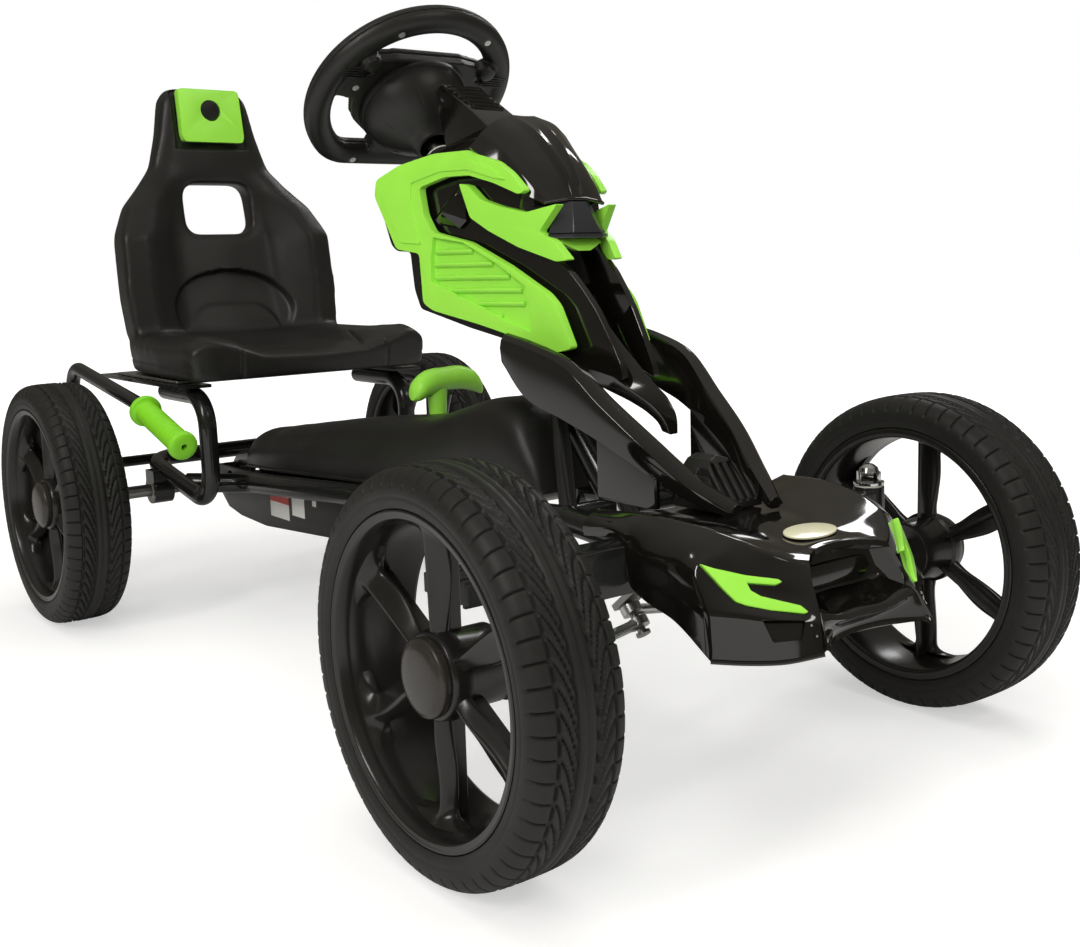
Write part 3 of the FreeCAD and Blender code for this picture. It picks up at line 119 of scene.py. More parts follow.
LOOK = {
    "tyre_foam": plastic("tyre foam", (0.0125, 0.0120, 0.0110), 0.50, 0.10, grain=0.35, grain_scale=1400,
                         specular=0.4),
    "rim_plastic": plastic("rim plastic", (0.011, 0.010, 0.009), 0.24, 0.06, grain=0.05, wave=0.10,
                           specular=0.55),
    "cap_plastic": plastic("cap plastic", (0.030, 0.026, 0.022), 0.27, 0.05, grain=0.05, wave=0.08),
    "lime_plastic": plastic("lime plastic", (0.335, 0.810, 0.072), 0.33, 0.05, grain=0.10, grain_scale=1100,
                            tint=0.06, wave=0.05),
    "gloss_black": plastic("gloss black plastic", (0.0060, 0.0052, 0.0042), 0.085, 0.03, wave=0.10, coat=0.5,
                           specular=0.6),
    "satin_black": plastic("satin black plastic", (0.0120, 0.0115, 0.0105), 0.38, 0.07, grain=0.30,
                           grain_scale=1300, wave=0.10),
    "frame_paint": plastic("powder coat", (0.010, 0.010, 0.010), 0.20, 0.06, grain=0.12, grain_scale=500,
                           coat=0.3),
    "zinc_steel": plastic("zinc plate", (0.62, 0.63, 0.62), 0.28, 0.10, metallic=1.0, scratch=0.15,
                          tint=0.15),
    "chrome": plastic("chrome plate", (0.80, 0.80, 0.80), 0.09, 0.04, metallic=1.0, tint=0.08, scratch=0.05),
    "steel": plastic("oiled steel", (0.30, 0.29, 0.28), 0.34, 0.10, metallic=1.0, scratch=0.2),
    "nylon": plastic("natural nylon", (0.55, 0.53, 0.47), 0.5, 0.05, grain=0.1),
    "rubber_black": plastic("black rubber", (0.022, 0.022, 0.022), 0.58, 0.08, grain=0.4),
    "rubber_lime": plastic("lime grip rubber", (0.215, 0.640, 0.018), 0.42, 0.06, grain=0.2, tint=0.10),
    "lamp_plastic": plastic("smoked lamp plastic", (0.022, 0.023, 0.026), 0.20, 0.05, grain=0.05, coat=0.2),
}
BADGE = plastic("blank badge enamel", (0.74, 0.72, 0.50), 0.22, 0.05, coat=0.4, tint=0.08)
LABEL = plastic("blank paper label", (0.70, 0.70, 0.68), 0.45, 0.05, grain=0.1, tint=0.06)
LABEL_RED = plastic("red label band", (0.50, 0.035, 0.025), 0.42, 0.05, grain=0.1, tint=0.08)


# ---------------------------------------------------------------- making and placing pieces

def into_scene(name, data):
    """New object in the scene."""
    obj = bpy.data.objects.new(name, data)
    bpy.context.scene.collection.objects.link(obj)
    return obj


def place_piece(name, mesh, body, slot, look=None, nodes=()):
    """A finished mesh as a piece that rides on a body and may stand for CAD nodes."""
    obj = into_scene(name, mesh)
    mesh.materials.clear()
    mesh.materials.append(look or LOOK[slot])
    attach(obj, body)
    if nodes:
        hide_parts(*nodes)
    return obj


def stand_for(node, *meshes):
    """Replace a CAD node by one piece that takes its body, slot and finish."""
    mesh = join_meshes(meshes) if len(meshes) > 1 else meshes[0]
    return place_piece(node + "_piece", mesh, BODY_OF[node], SLOT_OF[node], nodes=(node,))


def mesh_from(verts_mm, faces):
    """Mesh from millimetre points."""
    mesh = bpy.data.meshes.new("mesh")
    mesh.from_pydata((np.asarray(verts_mm, float) * MM).tolist(), [], [list(f) for f in faces])
    mesh.validate()
    return mesh


def shade(mesh, angle):
    """Smooth shading that keeps edges sharper than an angle."""
    mesh.polygons.foreach_set("use_smooth", [True] * len(mesh.polygons))
    mesh.set_sharp_from_angle(angle=math.radians(angle))
    return mesh


def with_bmesh(mesh, action):
    """Run an action on a mesh through bmesh."""
    bm = bmesh.new()
    bm.from_mesh(mesh)
    action(bm)
    bm.to_mesh(mesh)
    bm.free()
    return mesh


def modified(mesh, *modifiers):
    """The mesh after (type, settings) modifiers, with nothing left live."""
    obj = into_scene("work", mesh)
    for kind, settings in modifiers:
        modifier = obj.modifiers.new(kind, kind)
        for key, value in settings.items():
            setattr(modifier, key, value)
    graph = bpy.context.evaluated_depsgraph_get()
    result = bpy.data.meshes.new_from_object(obj.evaluated_get(graph))
    bpy.data.objects.remove(obj)
    return result


def bevel(width, segments=2, angle=28.0):
    """Bevel modifier on edges sharper than an angle, width in millimetres."""
    return ("BEVEL", {"width": width * MM, "segments": segments, "limit_method": "ANGLE",
                      "angle_limit": math.radians(angle), "harden_normals": False, "profile": 0.6,
                      "use_clamp_overlap": True})


def bevelled(mesh, width, segments=2, angle=28.0, smooth=35.0):
    """The mesh with rounded edges and smooth shading."""
    return shade(modified(mesh, bevel(width, segments, angle)), smooth)


def facing_out(mesh):
    """The mesh with every face turned outwards."""
    return with_bmesh(mesh, lambda bm: bmesh.ops.recalc_face_normals(bm, faces=bm.faces))


def cleaned(node, flat=2.0):
    """Copy of a CAD node's mesh with its flat faces merged."""
    mesh = NODES[node].data.copy()

    def action(bm):
        bmesh.ops.remove_doubles(bm, verts=bm.verts, dist=0.01 * MM)
        bmesh.ops.dissolve_limit(bm, angle_limit=math.radians(flat), verts=bm.verts, edges=bm.edges)
    return with_bmesh(mesh, action)


def softened(node, width):
    """Replace a CAD node by a copy with rounded edges."""
    return stand_for(node, bevelled(cleaned(node), width, 2, 28, 40))


def remeshed(node, voxel, rounds, detail=None):
    """Dense copy of a CAD node with moulded, rounded edges; detail may shift its points, in mm."""
    work = modified(cleaned(node, 0.1), ("REMESH", {"mode": "VOXEL", "voxel_size": voxel * MM}))
    work = modified(work, ("SMOOTH", {"factor": 0.5, "iterations": rounds}))
    points = np.empty(len(work.vertices) * 3)
    work.vertices.foreach_get("co", points)
    normals = np.empty(len(work.vertices) * 3)
    work.vertices.foreach_get("normal", normals)
    points = points.reshape(-1, 3) / MM
    if detail is not None:
        points = detail(points, normals.reshape(-1, 3))
    work.vertices.foreach_set("co", (points * MM).ravel())
    work.update()
    return shade(work, 60)


def step(x):
    """Smooth step from 0 to 1."""
    x = np.clip(x, 0, 1)
    return x * x * (3 - 2 * x)


def grid_faces(rows, columns, close_rows=False, close_columns=False):
    """Quads between a grid of points."""
    faces = []
    for i in range(rows if close_rows else rows - 1):
        for j in range(columns if close_columns else columns - 1):
            k, m = (i + 1) % rows, (j + 1) % columns
            faces.append((i * columns + j, k * columns + j, k * columns + m, i * columns + m))
    return faces


def join_meshes(meshes):
    """One mesh from several."""
    bm = bmesh.new()
    for mesh in meshes:
        bm.from_mesh(mesh)
    result = bpy.data.meshes.new("joined")
    bm.to_mesh(result)
    bm.free()
    return result


def moved(mesh, matrix):
    """A copy of a mesh carried by a matrix given in millimetres."""
    copy = mesh.copy()
    scaled = matrix.copy()
    scaled.translation = matrix.translation * MM
    copy.transform(scaled)
    if matrix.determinant() < 0:
        copy.flip_normals()
    return copy


def spun(profile, steps=96, axis="X"):
    """Closed solid of revolution from a closed loop of (along, radius) points."""
    verts = []
    for turn in np.arange(steps) * 2 * math.pi / steps:
        for along, radius in profile:
            ring = (radius * math.sin(turn), radius * math.cos(turn))
            verts.append((along, *ring) if axis == "X" else (*ring, along))
    mesh = mesh_from(verts, grid_faces(steps, len(profile), True, True))

    def action(bm):
        bmesh.ops.remove_doubles(bm, verts=bm.verts, dist=0.001 * MM)
        bmesh.ops.dissolve_degenerate(bm, edges=bm.edges, dist=0.001 * MM)
        bmesh.ops.recalc_face_normals(bm, faces=bm.faces)
    return with_bmesh(mesh, action)


def smooth_line(points, count):
    """Evenly spaced points on a smooth curve through a list of points."""
    points = np.asarray(points, float)
    padded = np.vstack([2 * points[0] - points[1], points, 2 * points[-1] - points[-2]])
    dense = []
    for i in range(1, len(padded) - 2):
        a, b, c, d = padded[i - 1:i + 3]
        for t in np.linspace(0, 1, 12, endpoint=False):
            dense.append(0.5 * (2 * b + (c - a) * t + (2 * a - 5 * b + 4 * c - d) * t * t
                                + (3 * b - a - 3 * c + d) * t ** 3))
    dense.append(points[-1])
    dense = np.array(dense)
    lengths = np.concatenate([[0], np.cumsum(np.linalg.norm(np.diff(dense, axis=0), axis=1))])
    wanted = np.linspace(0, lengths[-1], count)
    return np.column_stack([np.interp(wanted, lengths, dense[:, k]) for k in range(dense.shape[1])])


def prism(outline, direction):
    """Closed plate from an outline of 3-D points, thickened along a direction."""
    n = len(outline)
    verts = [Vector(p) for p in outline] + [Vector(p) + Vector(direction) for p in outline]
    faces = [tuple(range(n)), tuple(range(2 * n - 1, n - 1, -1))]
    faces += [(i, i + n, (i + 1) % n + n, (i + 1) % n) for i in range(n)]
    return facing_out(mesh_from([tuple(v) for v in verts], faces))


def tube(points, radius, sides=14, closed=False):
    """Round tube along a list of points."""
    points = [Vector(p) for p in points]
    rings = []
    side = None
    count = len(points)
    for i, p in enumerate(points):
        after = points[(i + 1) % count] if closed or i < count - 1 else p
        before = points[i - 1] if closed or i > 0 else p
        along = (after - before).normalized()
        if side is None:
            side = along.orthogonal().normalized()
        side = (side - along * side.dot(along)).normalized()
        across = along.cross(side)
        r = radius[i] if hasattr(radius, "__len__") else radius
        for k in range(sides):
            turn = 2 * math.pi * k / sides
            rings.append(p + side * (math.cos(turn) * r) + across * (math.sin(turn) * r))
    faces = grid_faces(count, sides, closed, True)
    if not closed:
        faces.append(tuple(range(sides - 1, -1, -1)))
        faces.append(tuple(range((count - 1) * sides, count * sides)))
    return mesh_from([tuple(v) for v in rings], faces)


def box_mesh(low, high):
    """Box between two corners."""
    (a, b, c), (d, e, f) = low, high
    return prism([(a, b, c), (d, b, c), (d, e, c), (a, e, c)], (0, 0, f - c))


def centre_of(node):
    """Middle of a CAD node's box, in millimetres."""
    low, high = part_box(node)
    return (Vector(low) + Vector(high)) / 2 / MM


# ---------------------------------------------------------------- wheels

TYRE_RADIUS = 150.0
PITCH_COUNT = 60
SLICES = 12  # slices round the tyre per pitch of the tread
RIB_EDGE = 23.5  # ring groove between the tread and the shoulder, from the middle of the section
INNER_RIB = 7.5
SPOKES = 6


def groove(distance, width, depth, edge=0.7):
    """Depth of a groove at a distance from its middle."""
    return depth * step((width / 2 + edge - np.abs(distance)) / edge)


def tyre_mesh():
    """Foam tyre with ring grooves, swept sipes on the tread and straight ones over the shoulder."""
    half = [(-35.9, 121.5), (-37.2, 125), (-37.9, 130), (-37.6, 136), (-35.6, 141.5), (-31.5, 146),
            (-25, 148.8), (-14, 149.8), (0, 150)]
    outer = half + [(-u, r) for u, r in reversed(half[:-1])]
    line = smooth_line(outer, 92)
    line[:, 1] = np.minimum(line[:, 1], TYRE_RADIUS)
    steps = PITCH_COUNT * SLICES
    lengths = np.concatenate([[0], np.cumsum(np.linalg.norm(np.diff(line, axis=0), axis=1))])
    across = lengths - lengths[-1] / 2
    away = np.abs(across)
    pitch = 2 * math.pi * TYRE_RADIUS / PITCH_COUNT
    tangent = np.gradient(line, axis=0)
    tangent /= np.linalg.norm(tangent, axis=1)[:, None]
    normal = np.column_stack([-tangent[:, 1], tangent[:, 0]])
    out = line - np.array([0, 118.0])
    normal[(normal * out).sum(axis=1) < 0] *= -1
    ring = groove(away - RIB_EDGE, 2.0, 2.4) + groove(away - INNER_RIB, 2.4, 2.6) + groove(away, 1.0, 1.0)
    ring += groove(away - 51.0, 1.0, 0.5)
    lean = -2.6 * pitch * np.clip((RIB_EDGE - away) / 16, 0, 1) ** 1.7
    slope = np.abs(np.gradient(lean, across))
    bead = [(35.4, 120.8), (31.5, 120.6), (31.5, 112.5), (-31.5, 112.5), (-31.5, 120.6), (-35.4, 120.8)]
    verts = []
    for k in range(steps):
        s = k * pitch / SLICES
        turn = 2 * math.pi * k / steps
        near = (s - lean + pitch / 2) % pitch - pitch / 2
        swept = groove(near / np.sqrt(1 + slope ** 2), 1.3, 2.0, 0.8) * (away > 7.0) * (away < RIB_EDGE)
        shoulder = groove((s + pitch / 2) % pitch - pitch / 2, 1.3, 1.8, 0.8) * (away > RIB_EDGE)
        shoulder = shoulder * step((45.5 - away) / 4)
        depth = np.maximum.reduce([ring, swept, shoulder])
        for along, radius in [*(line - normal * depth[:, None]), *bead]:
            verts.append((along, radius * math.sin(turn), radius * math.cos(turn)))
    mesh = mesh_from(verts, grid_faces(steps, len(line) + len(bead), True, True))
    return shade(facing_out(mesh), 45)


def spoke_mesh():
    """One spoke: narrow at the hub, leaning to one side, with a raised ridge near its leading edge."""
    # radius, trailing angle, leading angle, ridge share, edge height, ridge height
    stations = [
        (27, -19, 19, 0.50, 15, 20), (33, -15, 15, 0.52, 14.5, 20), (40, -12.5, 11.5, 0.56, 13, 20.5),
        (48, -12.5, 9.5, 0.60, 12.5, 20.5), (60, -12.0, 9.5, 0.64, 12, 20), (72, -11.5, 9.0, 0.68, 12, 19.5),
        (84, -9.5, 7.8, 0.70, 12.5, 19.5), (94, -7.5, 6.5, 0.70, 13.5, 20), (101, -7.5, 6.2, 0.66, 15.5, 21),
        (106, -12, 9.5, 0.60, 19, 23), (109.5, -19, 17, 0.55, 22, 24.5),
    ]
    verts = []
    for radius, low, high, share, edge, ridge in stations:
        section = [(0, 6.5), (0, edge - 2), (0.07, edge), (share - 0.12, ridge - 0.8), (share, ridge),
                   (share + 0.1, ridge - 0.9), (0.93, edge), (1, edge - 2), (1, 6.5)]
        for across, u in section:
            turn = math.radians(low + (high - low) * across)
            verts.append((u, radius * math.sin(turn), radius * math.cos(turn)))
    mesh = mesh_from(verts, grid_faces(len(stations), len(section), False, True))
    return facing_out(modified(mesh, ("SUBSURF", {"levels": 2, "render_levels": 2})))


def rim_mesh():
    """Rim: stepped barrel with a rolled lip, leaning spokes with a rib behind each, and a hub."""
    barrel = [(36, 118.6), (35.4, 119.8), (33, 120), (32, 119), (31.8, 112.4), (-31.8, 112.4), (-32, 119),
              (-33, 120), (-35.4, 119.8), (-36, 118.6), (-36, 114), (-35.2, 112.2), (-32, 110.6),
              (-8, 109), (4, 108.6), (22, 108.6), (24, 110), (26, 110.2), (29, 111), (33, 112.6),
              (34.6, 113.6), (35.2, 114.6), (35.2, 116.8), (35.7, 117.6)]
    parts = [shade(spun(barrel, 192), 50)]
    hub = [(22, 26.5), (22, 30.4), (21, 31.6), (17, 32.5), (13, 33.5), (8, 33.5), (6, 31), (-12, 29),
           (-28, 29), (-30, 27.5), (-30, 8.2), (22, 8.2)]
    parts.append(shade(spun(hub, 96), 40))
    spoke = spoke_mesh()
    rib = prism([(7, -1.8, 30), (7, 1.8, 30), (7, 1.8, 108), (7, -1.8, 108)], (-12, 0, 0))
    rib = modified(rib, bevel(0.5, 1))
    for k in range(SPOKES):
        turn = Matrix.Rotation(2 * math.pi * k / SPOKES, 4, "X")
        parts += [shade(moved(spoke, turn), 50), moved(rib, turn)]
    return join_meshes(parts)


def hub_cap_mesh():
    """Domed cap with a rolled edge, a shallow ring and a fine dished centre."""
    profile = [(22.2, 0.001), (22.2, 26), (22.2, 28.6), (23.5, 29), (26.5, 29), (28.2, 28.6), (29.2, 27.4),
               (29.6, 26.2), (30.2, 25.4), (31.2, 24.0), (32.2, 20), (32.9, 14), (33.3, 8), (33.45, 4),
               (33.5, 0.001)]
    return shade(spun(profile, 96), 50)


def build_wheels():
    """Tyre, rim and cap of each wheel, mirrored on the driver's right."""
    tyre, rim, cap = tyre_mesh(), rim_mesh(), hub_cap_mesh()
    rear_caps = []
    for end in ("front", "rear"):
        for side_name, side in (("left", 1), ("right", -1)):
            wheel = "%s_%s" % (end, side_name)
            place = Matrix.Translation(centre_of("tyre_" + wheel)) @ Matrix.Scale(side, 4, Vector((1, 0, 0)))
            stand_for("tyre_" + wheel, moved(tyre, place))
            stand_for("rim_" + wheel, moved(rim, place))
            if end == "front":
                stand_for("hub_cap_" + wheel, moved(cap, place))
            else:
                rear_caps.append(moved(cap, place))
    stand_for("hub_caps_rear", *rear_caps)


build_wheels()


# ---------------------------------------------------------------- moulded shells

def fitted(points, steps, creases=()):
    """Smooth curve or surface through points along the first axis, with corners at the creases."""
    points = np.asarray(points, float)
    last = len(points) - 1
    gaps = [np.maximum(np.linalg.norm(points[i + 1] - points[i], axis=-1, keepdims=True), 1e-6)
            for i in range(last)]

    def slope(i, segment):
        ahead = min(i, last - 1)
        if i in creases or i == 0 or i == last:
            return points[segment + 1] - points[segment]
        before = (points[i] - points[i - 1]) / gaps[i - 1]
        after = (points[i + 1] - points[i]) / gaps[ahead]
        mean = (before * gaps[ahead] + after * gaps[i - 1]) / (gaps[i - 1] + gaps[ahead])
        return mean * gaps[segment]

    rows = []
    for i in range(last):
        a, b, ta, tb = points[i], points[i + 1], slope(i, i), slope(i + 1, i)
        for k in range(steps):
            t = k / steps
            rows.append(a * (2 * t ** 3 - 3 * t * t + 1) + ta * (t ** 3 - 2 * t * t + t)
                        + b * (3 * t * t - 2 * t ** 3) + tb * (t ** 3 - t * t))
    rows.append(points[-1])
    return np.array(rows)


def both_sides(half_rows):
    """Rows of surface points from rows that start on the centre line."""
    rows = []
    for half in half_rows:
        rows.append([(-x, y, z) for x, y, z in half[:0:-1]] + list(half))
    return np.array(rows, float)


def eased(surface, rounds):
    """Take the hardness off the creases of a grid of points."""
    surface = surface.copy()
    for _ in range(rounds):
        middle = surface[1:-1, 1:-1]
        around = surface[2:, 1:-1] + surface[:-2, 1:-1] + surface[1:-1, 2:] + surface[1:-1, :-2]
        surface[1:-1, 1:-1] = middle * 0.5 + around * 0.125
    return surface


def symmetric_surface(half_rows, row_steps, column_steps, row_creases=(), column_creases=(), rounds=2):
    """Fine grid through coarse half rows, creased on matching columns on both sides."""
    rows = both_sides(half_rows)
    middle = (rows.shape[1] - 1) // 2
    columns = {middle + c for c in column_creases} | {middle - c for c in column_creases}
    fine = fitted(rows, row_steps, row_creases)
    fine = fitted(fine.transpose(1, 0, 2), column_steps, columns).transpose(1, 0, 2)
    return eased(fine, rounds)


def surface_mesh(surface, thickness, outward=(0, 0, 1)):
    """Moulded skin of even thickness on the inner side of a grid of points."""
    rows, columns = surface.shape[:2]
    mesh = mesh_from(surface.reshape(-1, 3), grid_faces(rows, columns))
    normals = np.empty(len(mesh.polygons) * 3)
    mesh.polygons.foreach_get("normal", normals)
    if normals.reshape(-1, 3).mean(axis=0).dot(np.array(outward, float)) < 0:
        mesh.flip_normals()
    mesh = modified(mesh, ("SOLIDIFY", {"thickness": thickness * MM, "offset": -1, "use_even_offset": False}))
    return shade(mesh, 50)


def cut(mesh, cutter):
    """Mesh less a cutter."""
    tool = into_scene("tool", cutter)
    result = modified(mesh, ("BOOLEAN", {"operation": "DIFFERENCE", "object": tool, "solver": "EXACT"}))
    bpy.data.objects.remove(tool)
    return result


def on_plane(plane, y, z, out=0.0):
    """Point of the leaning plane x = a + b y + c z of the -X side, raised outwards."""
    return (plane[0] + plane[1] * y + plane[2] * z - out, y, z)


def relief_plate(outline, plane, thickness, edge):
    """Right-hand leaning plate with bevelled edges."""
    points = [on_plane(plane, y, z) for y, z in outline]
    return bevelled(prism(points, (thickness, 0, 0)), edge, 3, 18)


def rounded_outline(points, radius, steps=4):
    """Flat outline with its corners rounded."""
    points = [Vector(p) for p in points]
    result = []
    for i, corner in enumerate(points):
        before, after = points[i - 1] - corner, points[(i + 1) % len(points)] - corner
        reach = min(radius, before.length * 0.45, after.length * 0.45)
        start, end = corner + before.normalized() * reach, corner + after.normalized() * reach
        for k in range(steps + 1):
            t = k / steps
            result.append(tuple(start * (1 - t) ** 2 + corner * 2 * t * (1 - t) + end * t * t))
    return result


MIRROR = Matrix.Scale(-1, 4, Vector((1, 0, 0)))


# ---------------------------------------------------------------- seat

BACK_LEAN = 0.156  # rearward run of the head panel per millimetre of rise
BUTTON_SHARE = 0.6  # height of the button as a share of the head panel


def seat_details(points, normals):
    """Press the lumbar arches, the pocket round the head panel and the seams into the seat."""
    x, y, z = points.T
    facing = step((-normals[:, 1] - 0.35) / 0.3) * (z > 330)
    arch = np.sqrt((x / 90.0) ** 2 + ((z - 378) / 57.0) ** 2)
    slope = np.clip((z - 350) / 84.0, 0, 1)
    recess = step((1.0 - arch) / 0.09) * (2.5 + 13.0 * slope)
    inner = np.sqrt((np.maximum(np.abs(x) - 26, 0) / 42.0) ** 2 + ((z - 345) / 43.0) ** 2)
    recess -= step((1.0 - inner) / 0.12) * 4.5
    recess = np.where(z > 335, np.maximum(recess, 0), 0)
    outside = np.maximum(np.abs(x) - 44.0, np.abs(z - 654.0) - 45.0)
    recess += 5.5 * step((6.5 - np.abs(outside - 2.5)) / 3.5) * (z > 585)
    result = points.copy()
    result[:, 1] += recess * facing
    top = step((normals[:, 2] - 0.3) / 0.3) * (z < 372)
    for middle, lean in ((-8, -0.32), (78, 0.36)):
        line = x - middle - lean * (y - 300)
        result[:, 2] -= 2.6 * step((2.6 - np.abs(line)) / 1.8) * top * step((58 - np.abs(y - 330)) / 20)
    front = step((-normals[:, 1] - 0.2) / 0.3) * (z < 352) * (y < 300)
    for middle in (-101.0, 101.0):
        result[:, 1] += 1.6 * step((2.2 - np.abs(x - middle)) / 1.4) * front
    side = (z < 352) & (z > 296)
    seam = np.abs(z - 318.0)
    sideways = step((np.abs(normals[:, 0]) - 0.5) / 0.3) * side
    result[:, 0] -= np.sign(normals[:, 0]) * 0.9 * step((1.8 - seam) / 1.0) * sideways
    return result


def build_seat():
    """Seat shell, its head panel with a button in a hole, and the slide bars."""
    stand_for("seat_shell", remeshed("seat_shell", 2.6, 60, seat_details))
    low, high = (Vector(c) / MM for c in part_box("head_panel"))
    width, bottom, top = (high.x - low.x) / 2, low.z, high.z
    outline = [(-width + 3, bottom), (width - 3, bottom), (width, bottom + 8), (width - 1, top),
               (-width + 1, top), (-width, bottom + 8)]
    points = [(x, low.y + (z - bottom) * BACK_LEAN - 0.5, z) for x, z in rounded_outline(outline, 7)]
    panel = prism(points, (0, 13, 0))
    rise = BUTTON_SHARE * (top - bottom)
    to_front = Matrix.Rotation(math.radians(90), 4, "Z")
    cutter = moved(spun([(0, 0.001), (0, 14.6), (22, 14.6), (22, 0.001)], 48),
                   Matrix.Translation((0, low.y - 8, bottom + rise)) @ to_front)
    panel = bevelled(cut(panel, cutter), 1.6, 3, 30, 40)
    stand_for("head_panel", panel)
    button = spun([(0, 0.001), (0, 11), (0.7, 13.4), (1.6, 14.2), (8, 14.2), (8, 0.001)], 48)
    place = Matrix.Translation((0, low.y + 0.5 + rise * BACK_LEAN, bottom + rise)) @ to_front
    button = moved(button, place)
    place_piece("head_button", shade(button, 40), "seat", "satin_black")
    softened("seat_brackets", 0.8)


build_seat()


# ---------------------------------------------------------------- steering wheel

COLUMN_TILT = math.radians(39.7)
BELL_SLOTS = 6
WHEEL_TO_KART = Matrix.Translation((0, 22, 615)) @ Matrix.Rotation(-COLUMN_TILT, 4, "X")


def build_steering_wheel():
    """Two rim halves with a parting line, ribbed paddles, slotted bell and horn pad."""
    for node in ("steering_wheel_front", "steering_wheel_back"):
        stand_for(node, remeshed(node, 1.5, 5))
    ribs = []
    for side in (-1, 1):
        for k in range(5):
            y0, y1, z = -44.6 + 3.1 * k, -43.0 + 3.1 * k, -14.4
            bar = prism([(side * 74, y0, z + 0.2 * k), (side * 98, y0, z), (side * 98, y1, z),
                         (side * 74, y1, z)], (0, 0, 4))
            ribs.append(modified(bar, bevel(0.5, 2)))
        knob = spun([(-19, 0.001), (-19, 5), (-17.5, 8.4), (-15, 9.6), (-6, 10.6), (-2, 10.6),
                     (-2, 0.001)], 40, "Z")
        ribs.append(moved(knob, Matrix.Translation((side * 70, -50, 0))))
    paddles = shade(join_meshes(ribs), 40)
    place_piece("shift_paddle_ribs", moved(paddles, WHEEL_TO_KART), "steering", "satin_black")
    outer = [(-11.5, 50), (-11.5, 58), (-12.3, 59.6), (-14, 60), (-16.5, 59.6), (-17.2, 57.8), (-20, 57.4),
             (-26, 56), (-38, 50.5), (-50, 41), (-58, 33), (-64, 27), (-68, 23.5), (-76, 20.5), (-76, 17),
             (-64, 22), (-52, 34), (-38, 46), (-24, 52), (-14.5, 50)]
    bell = spun(outer, 120, "Z")
    slots = []
    for k in range(BELL_SLOTS):
        slot = prism([(38, -1.7, -52), (62, -1.7, -52), (82, -1.7, -27), (60, -1.7, -27)], (0, 3.4, 0))
        slot = modified(slot, bevel(0.8, 2, 20))
        slots.append(moved(slot, Matrix.Rotation(math.radians(360 / BELL_SLOTS * k), 4, "Z")))
    bell = cut(bell, join_meshes(slots))
    stand_for("steering_bell", shade(moved(bell, WHEEL_TO_KART), 30))
    pad = [(7, 0.001), (7, 46), (9.5, 46), (11, 45.2), (12, 43.5), (12, 41.5), (11.3, 40.6), (11.3, 39.4),
           (12.4, 38.4), (14.8, 36), (16.6, 30), (17.8, 20), (18.6, 10), (19, 0.001)]
    stand_for("horn_pad", shade(moved(spun(pad, 96, "Z"), WHEEL_TO_KART), 45))


build_steering_wheel()


# ---------------------------------------------------------------- fairing

PANEL_PLANE = (-133.8, -0.207, 0.0719)
CHEEK_PLANE = (-128.0, -0.235, 0.0719)
FANG_PLANE = (-105.3, -0.264, 0.0)
POD_SLOPE = 0.589  # fall of the pod's slatted top towards the front
SLATS = 6
LOUVRE_TOP, LOUVRE_PITCH = 446.0, 12.2
LOUVRE = [(-133, 460), (-173, 454), (-217, 433), (-251, 413), (-260, 385), (-260, 371), (-229, 381),
          (-201, 393), (-166, 405), (-132, 418), (-131, 439)]

# half rows of points, from the centre line outwards, each further forward than the one before
HOOD_ROWS = [
    [(0, -184, 572), (13, -184, 572.5), (19, -184, 571), (34, -186, 566), (50, -185, 555), (62, -182, 541)],
    [(0, -212, 554), (10, -212, 558), (16, -212, 553), (29, -212, 546), (43, -210, 536), (51, -208, 521)],
    [(0, -238, 530), (8, -238, 536), (13, -238, 528), (27, -238, 522), (40, -236, 512), (46, -233, 500)],
    [(0, -253, 511), (7, -253, 516), (11, -252, 510), (24, -252, 504), (36, -250, 498), (41, -247, 492)],
    [(0, -264, 489), (6, -264, 491), (10, -263, 490), (21, -262, 489), (31, -260, 488), (36, -257, 487)],
]
DECK_ROWS = [
    [(0, -78, 537), (30, -72, 536), (56, -62, 530), (74, -52, 522)],
    [(0, -108, 550), (30, -106, 549), (54, -100, 542), (66, -96, 532)],
    [(0, -145, 562), (30, -145, 560), (48, -142, 549), (58, -138, 537)],
    [(0, -183, 568), (30, -183, 562), (46, -182, 552), (53, -180, 538)],
]


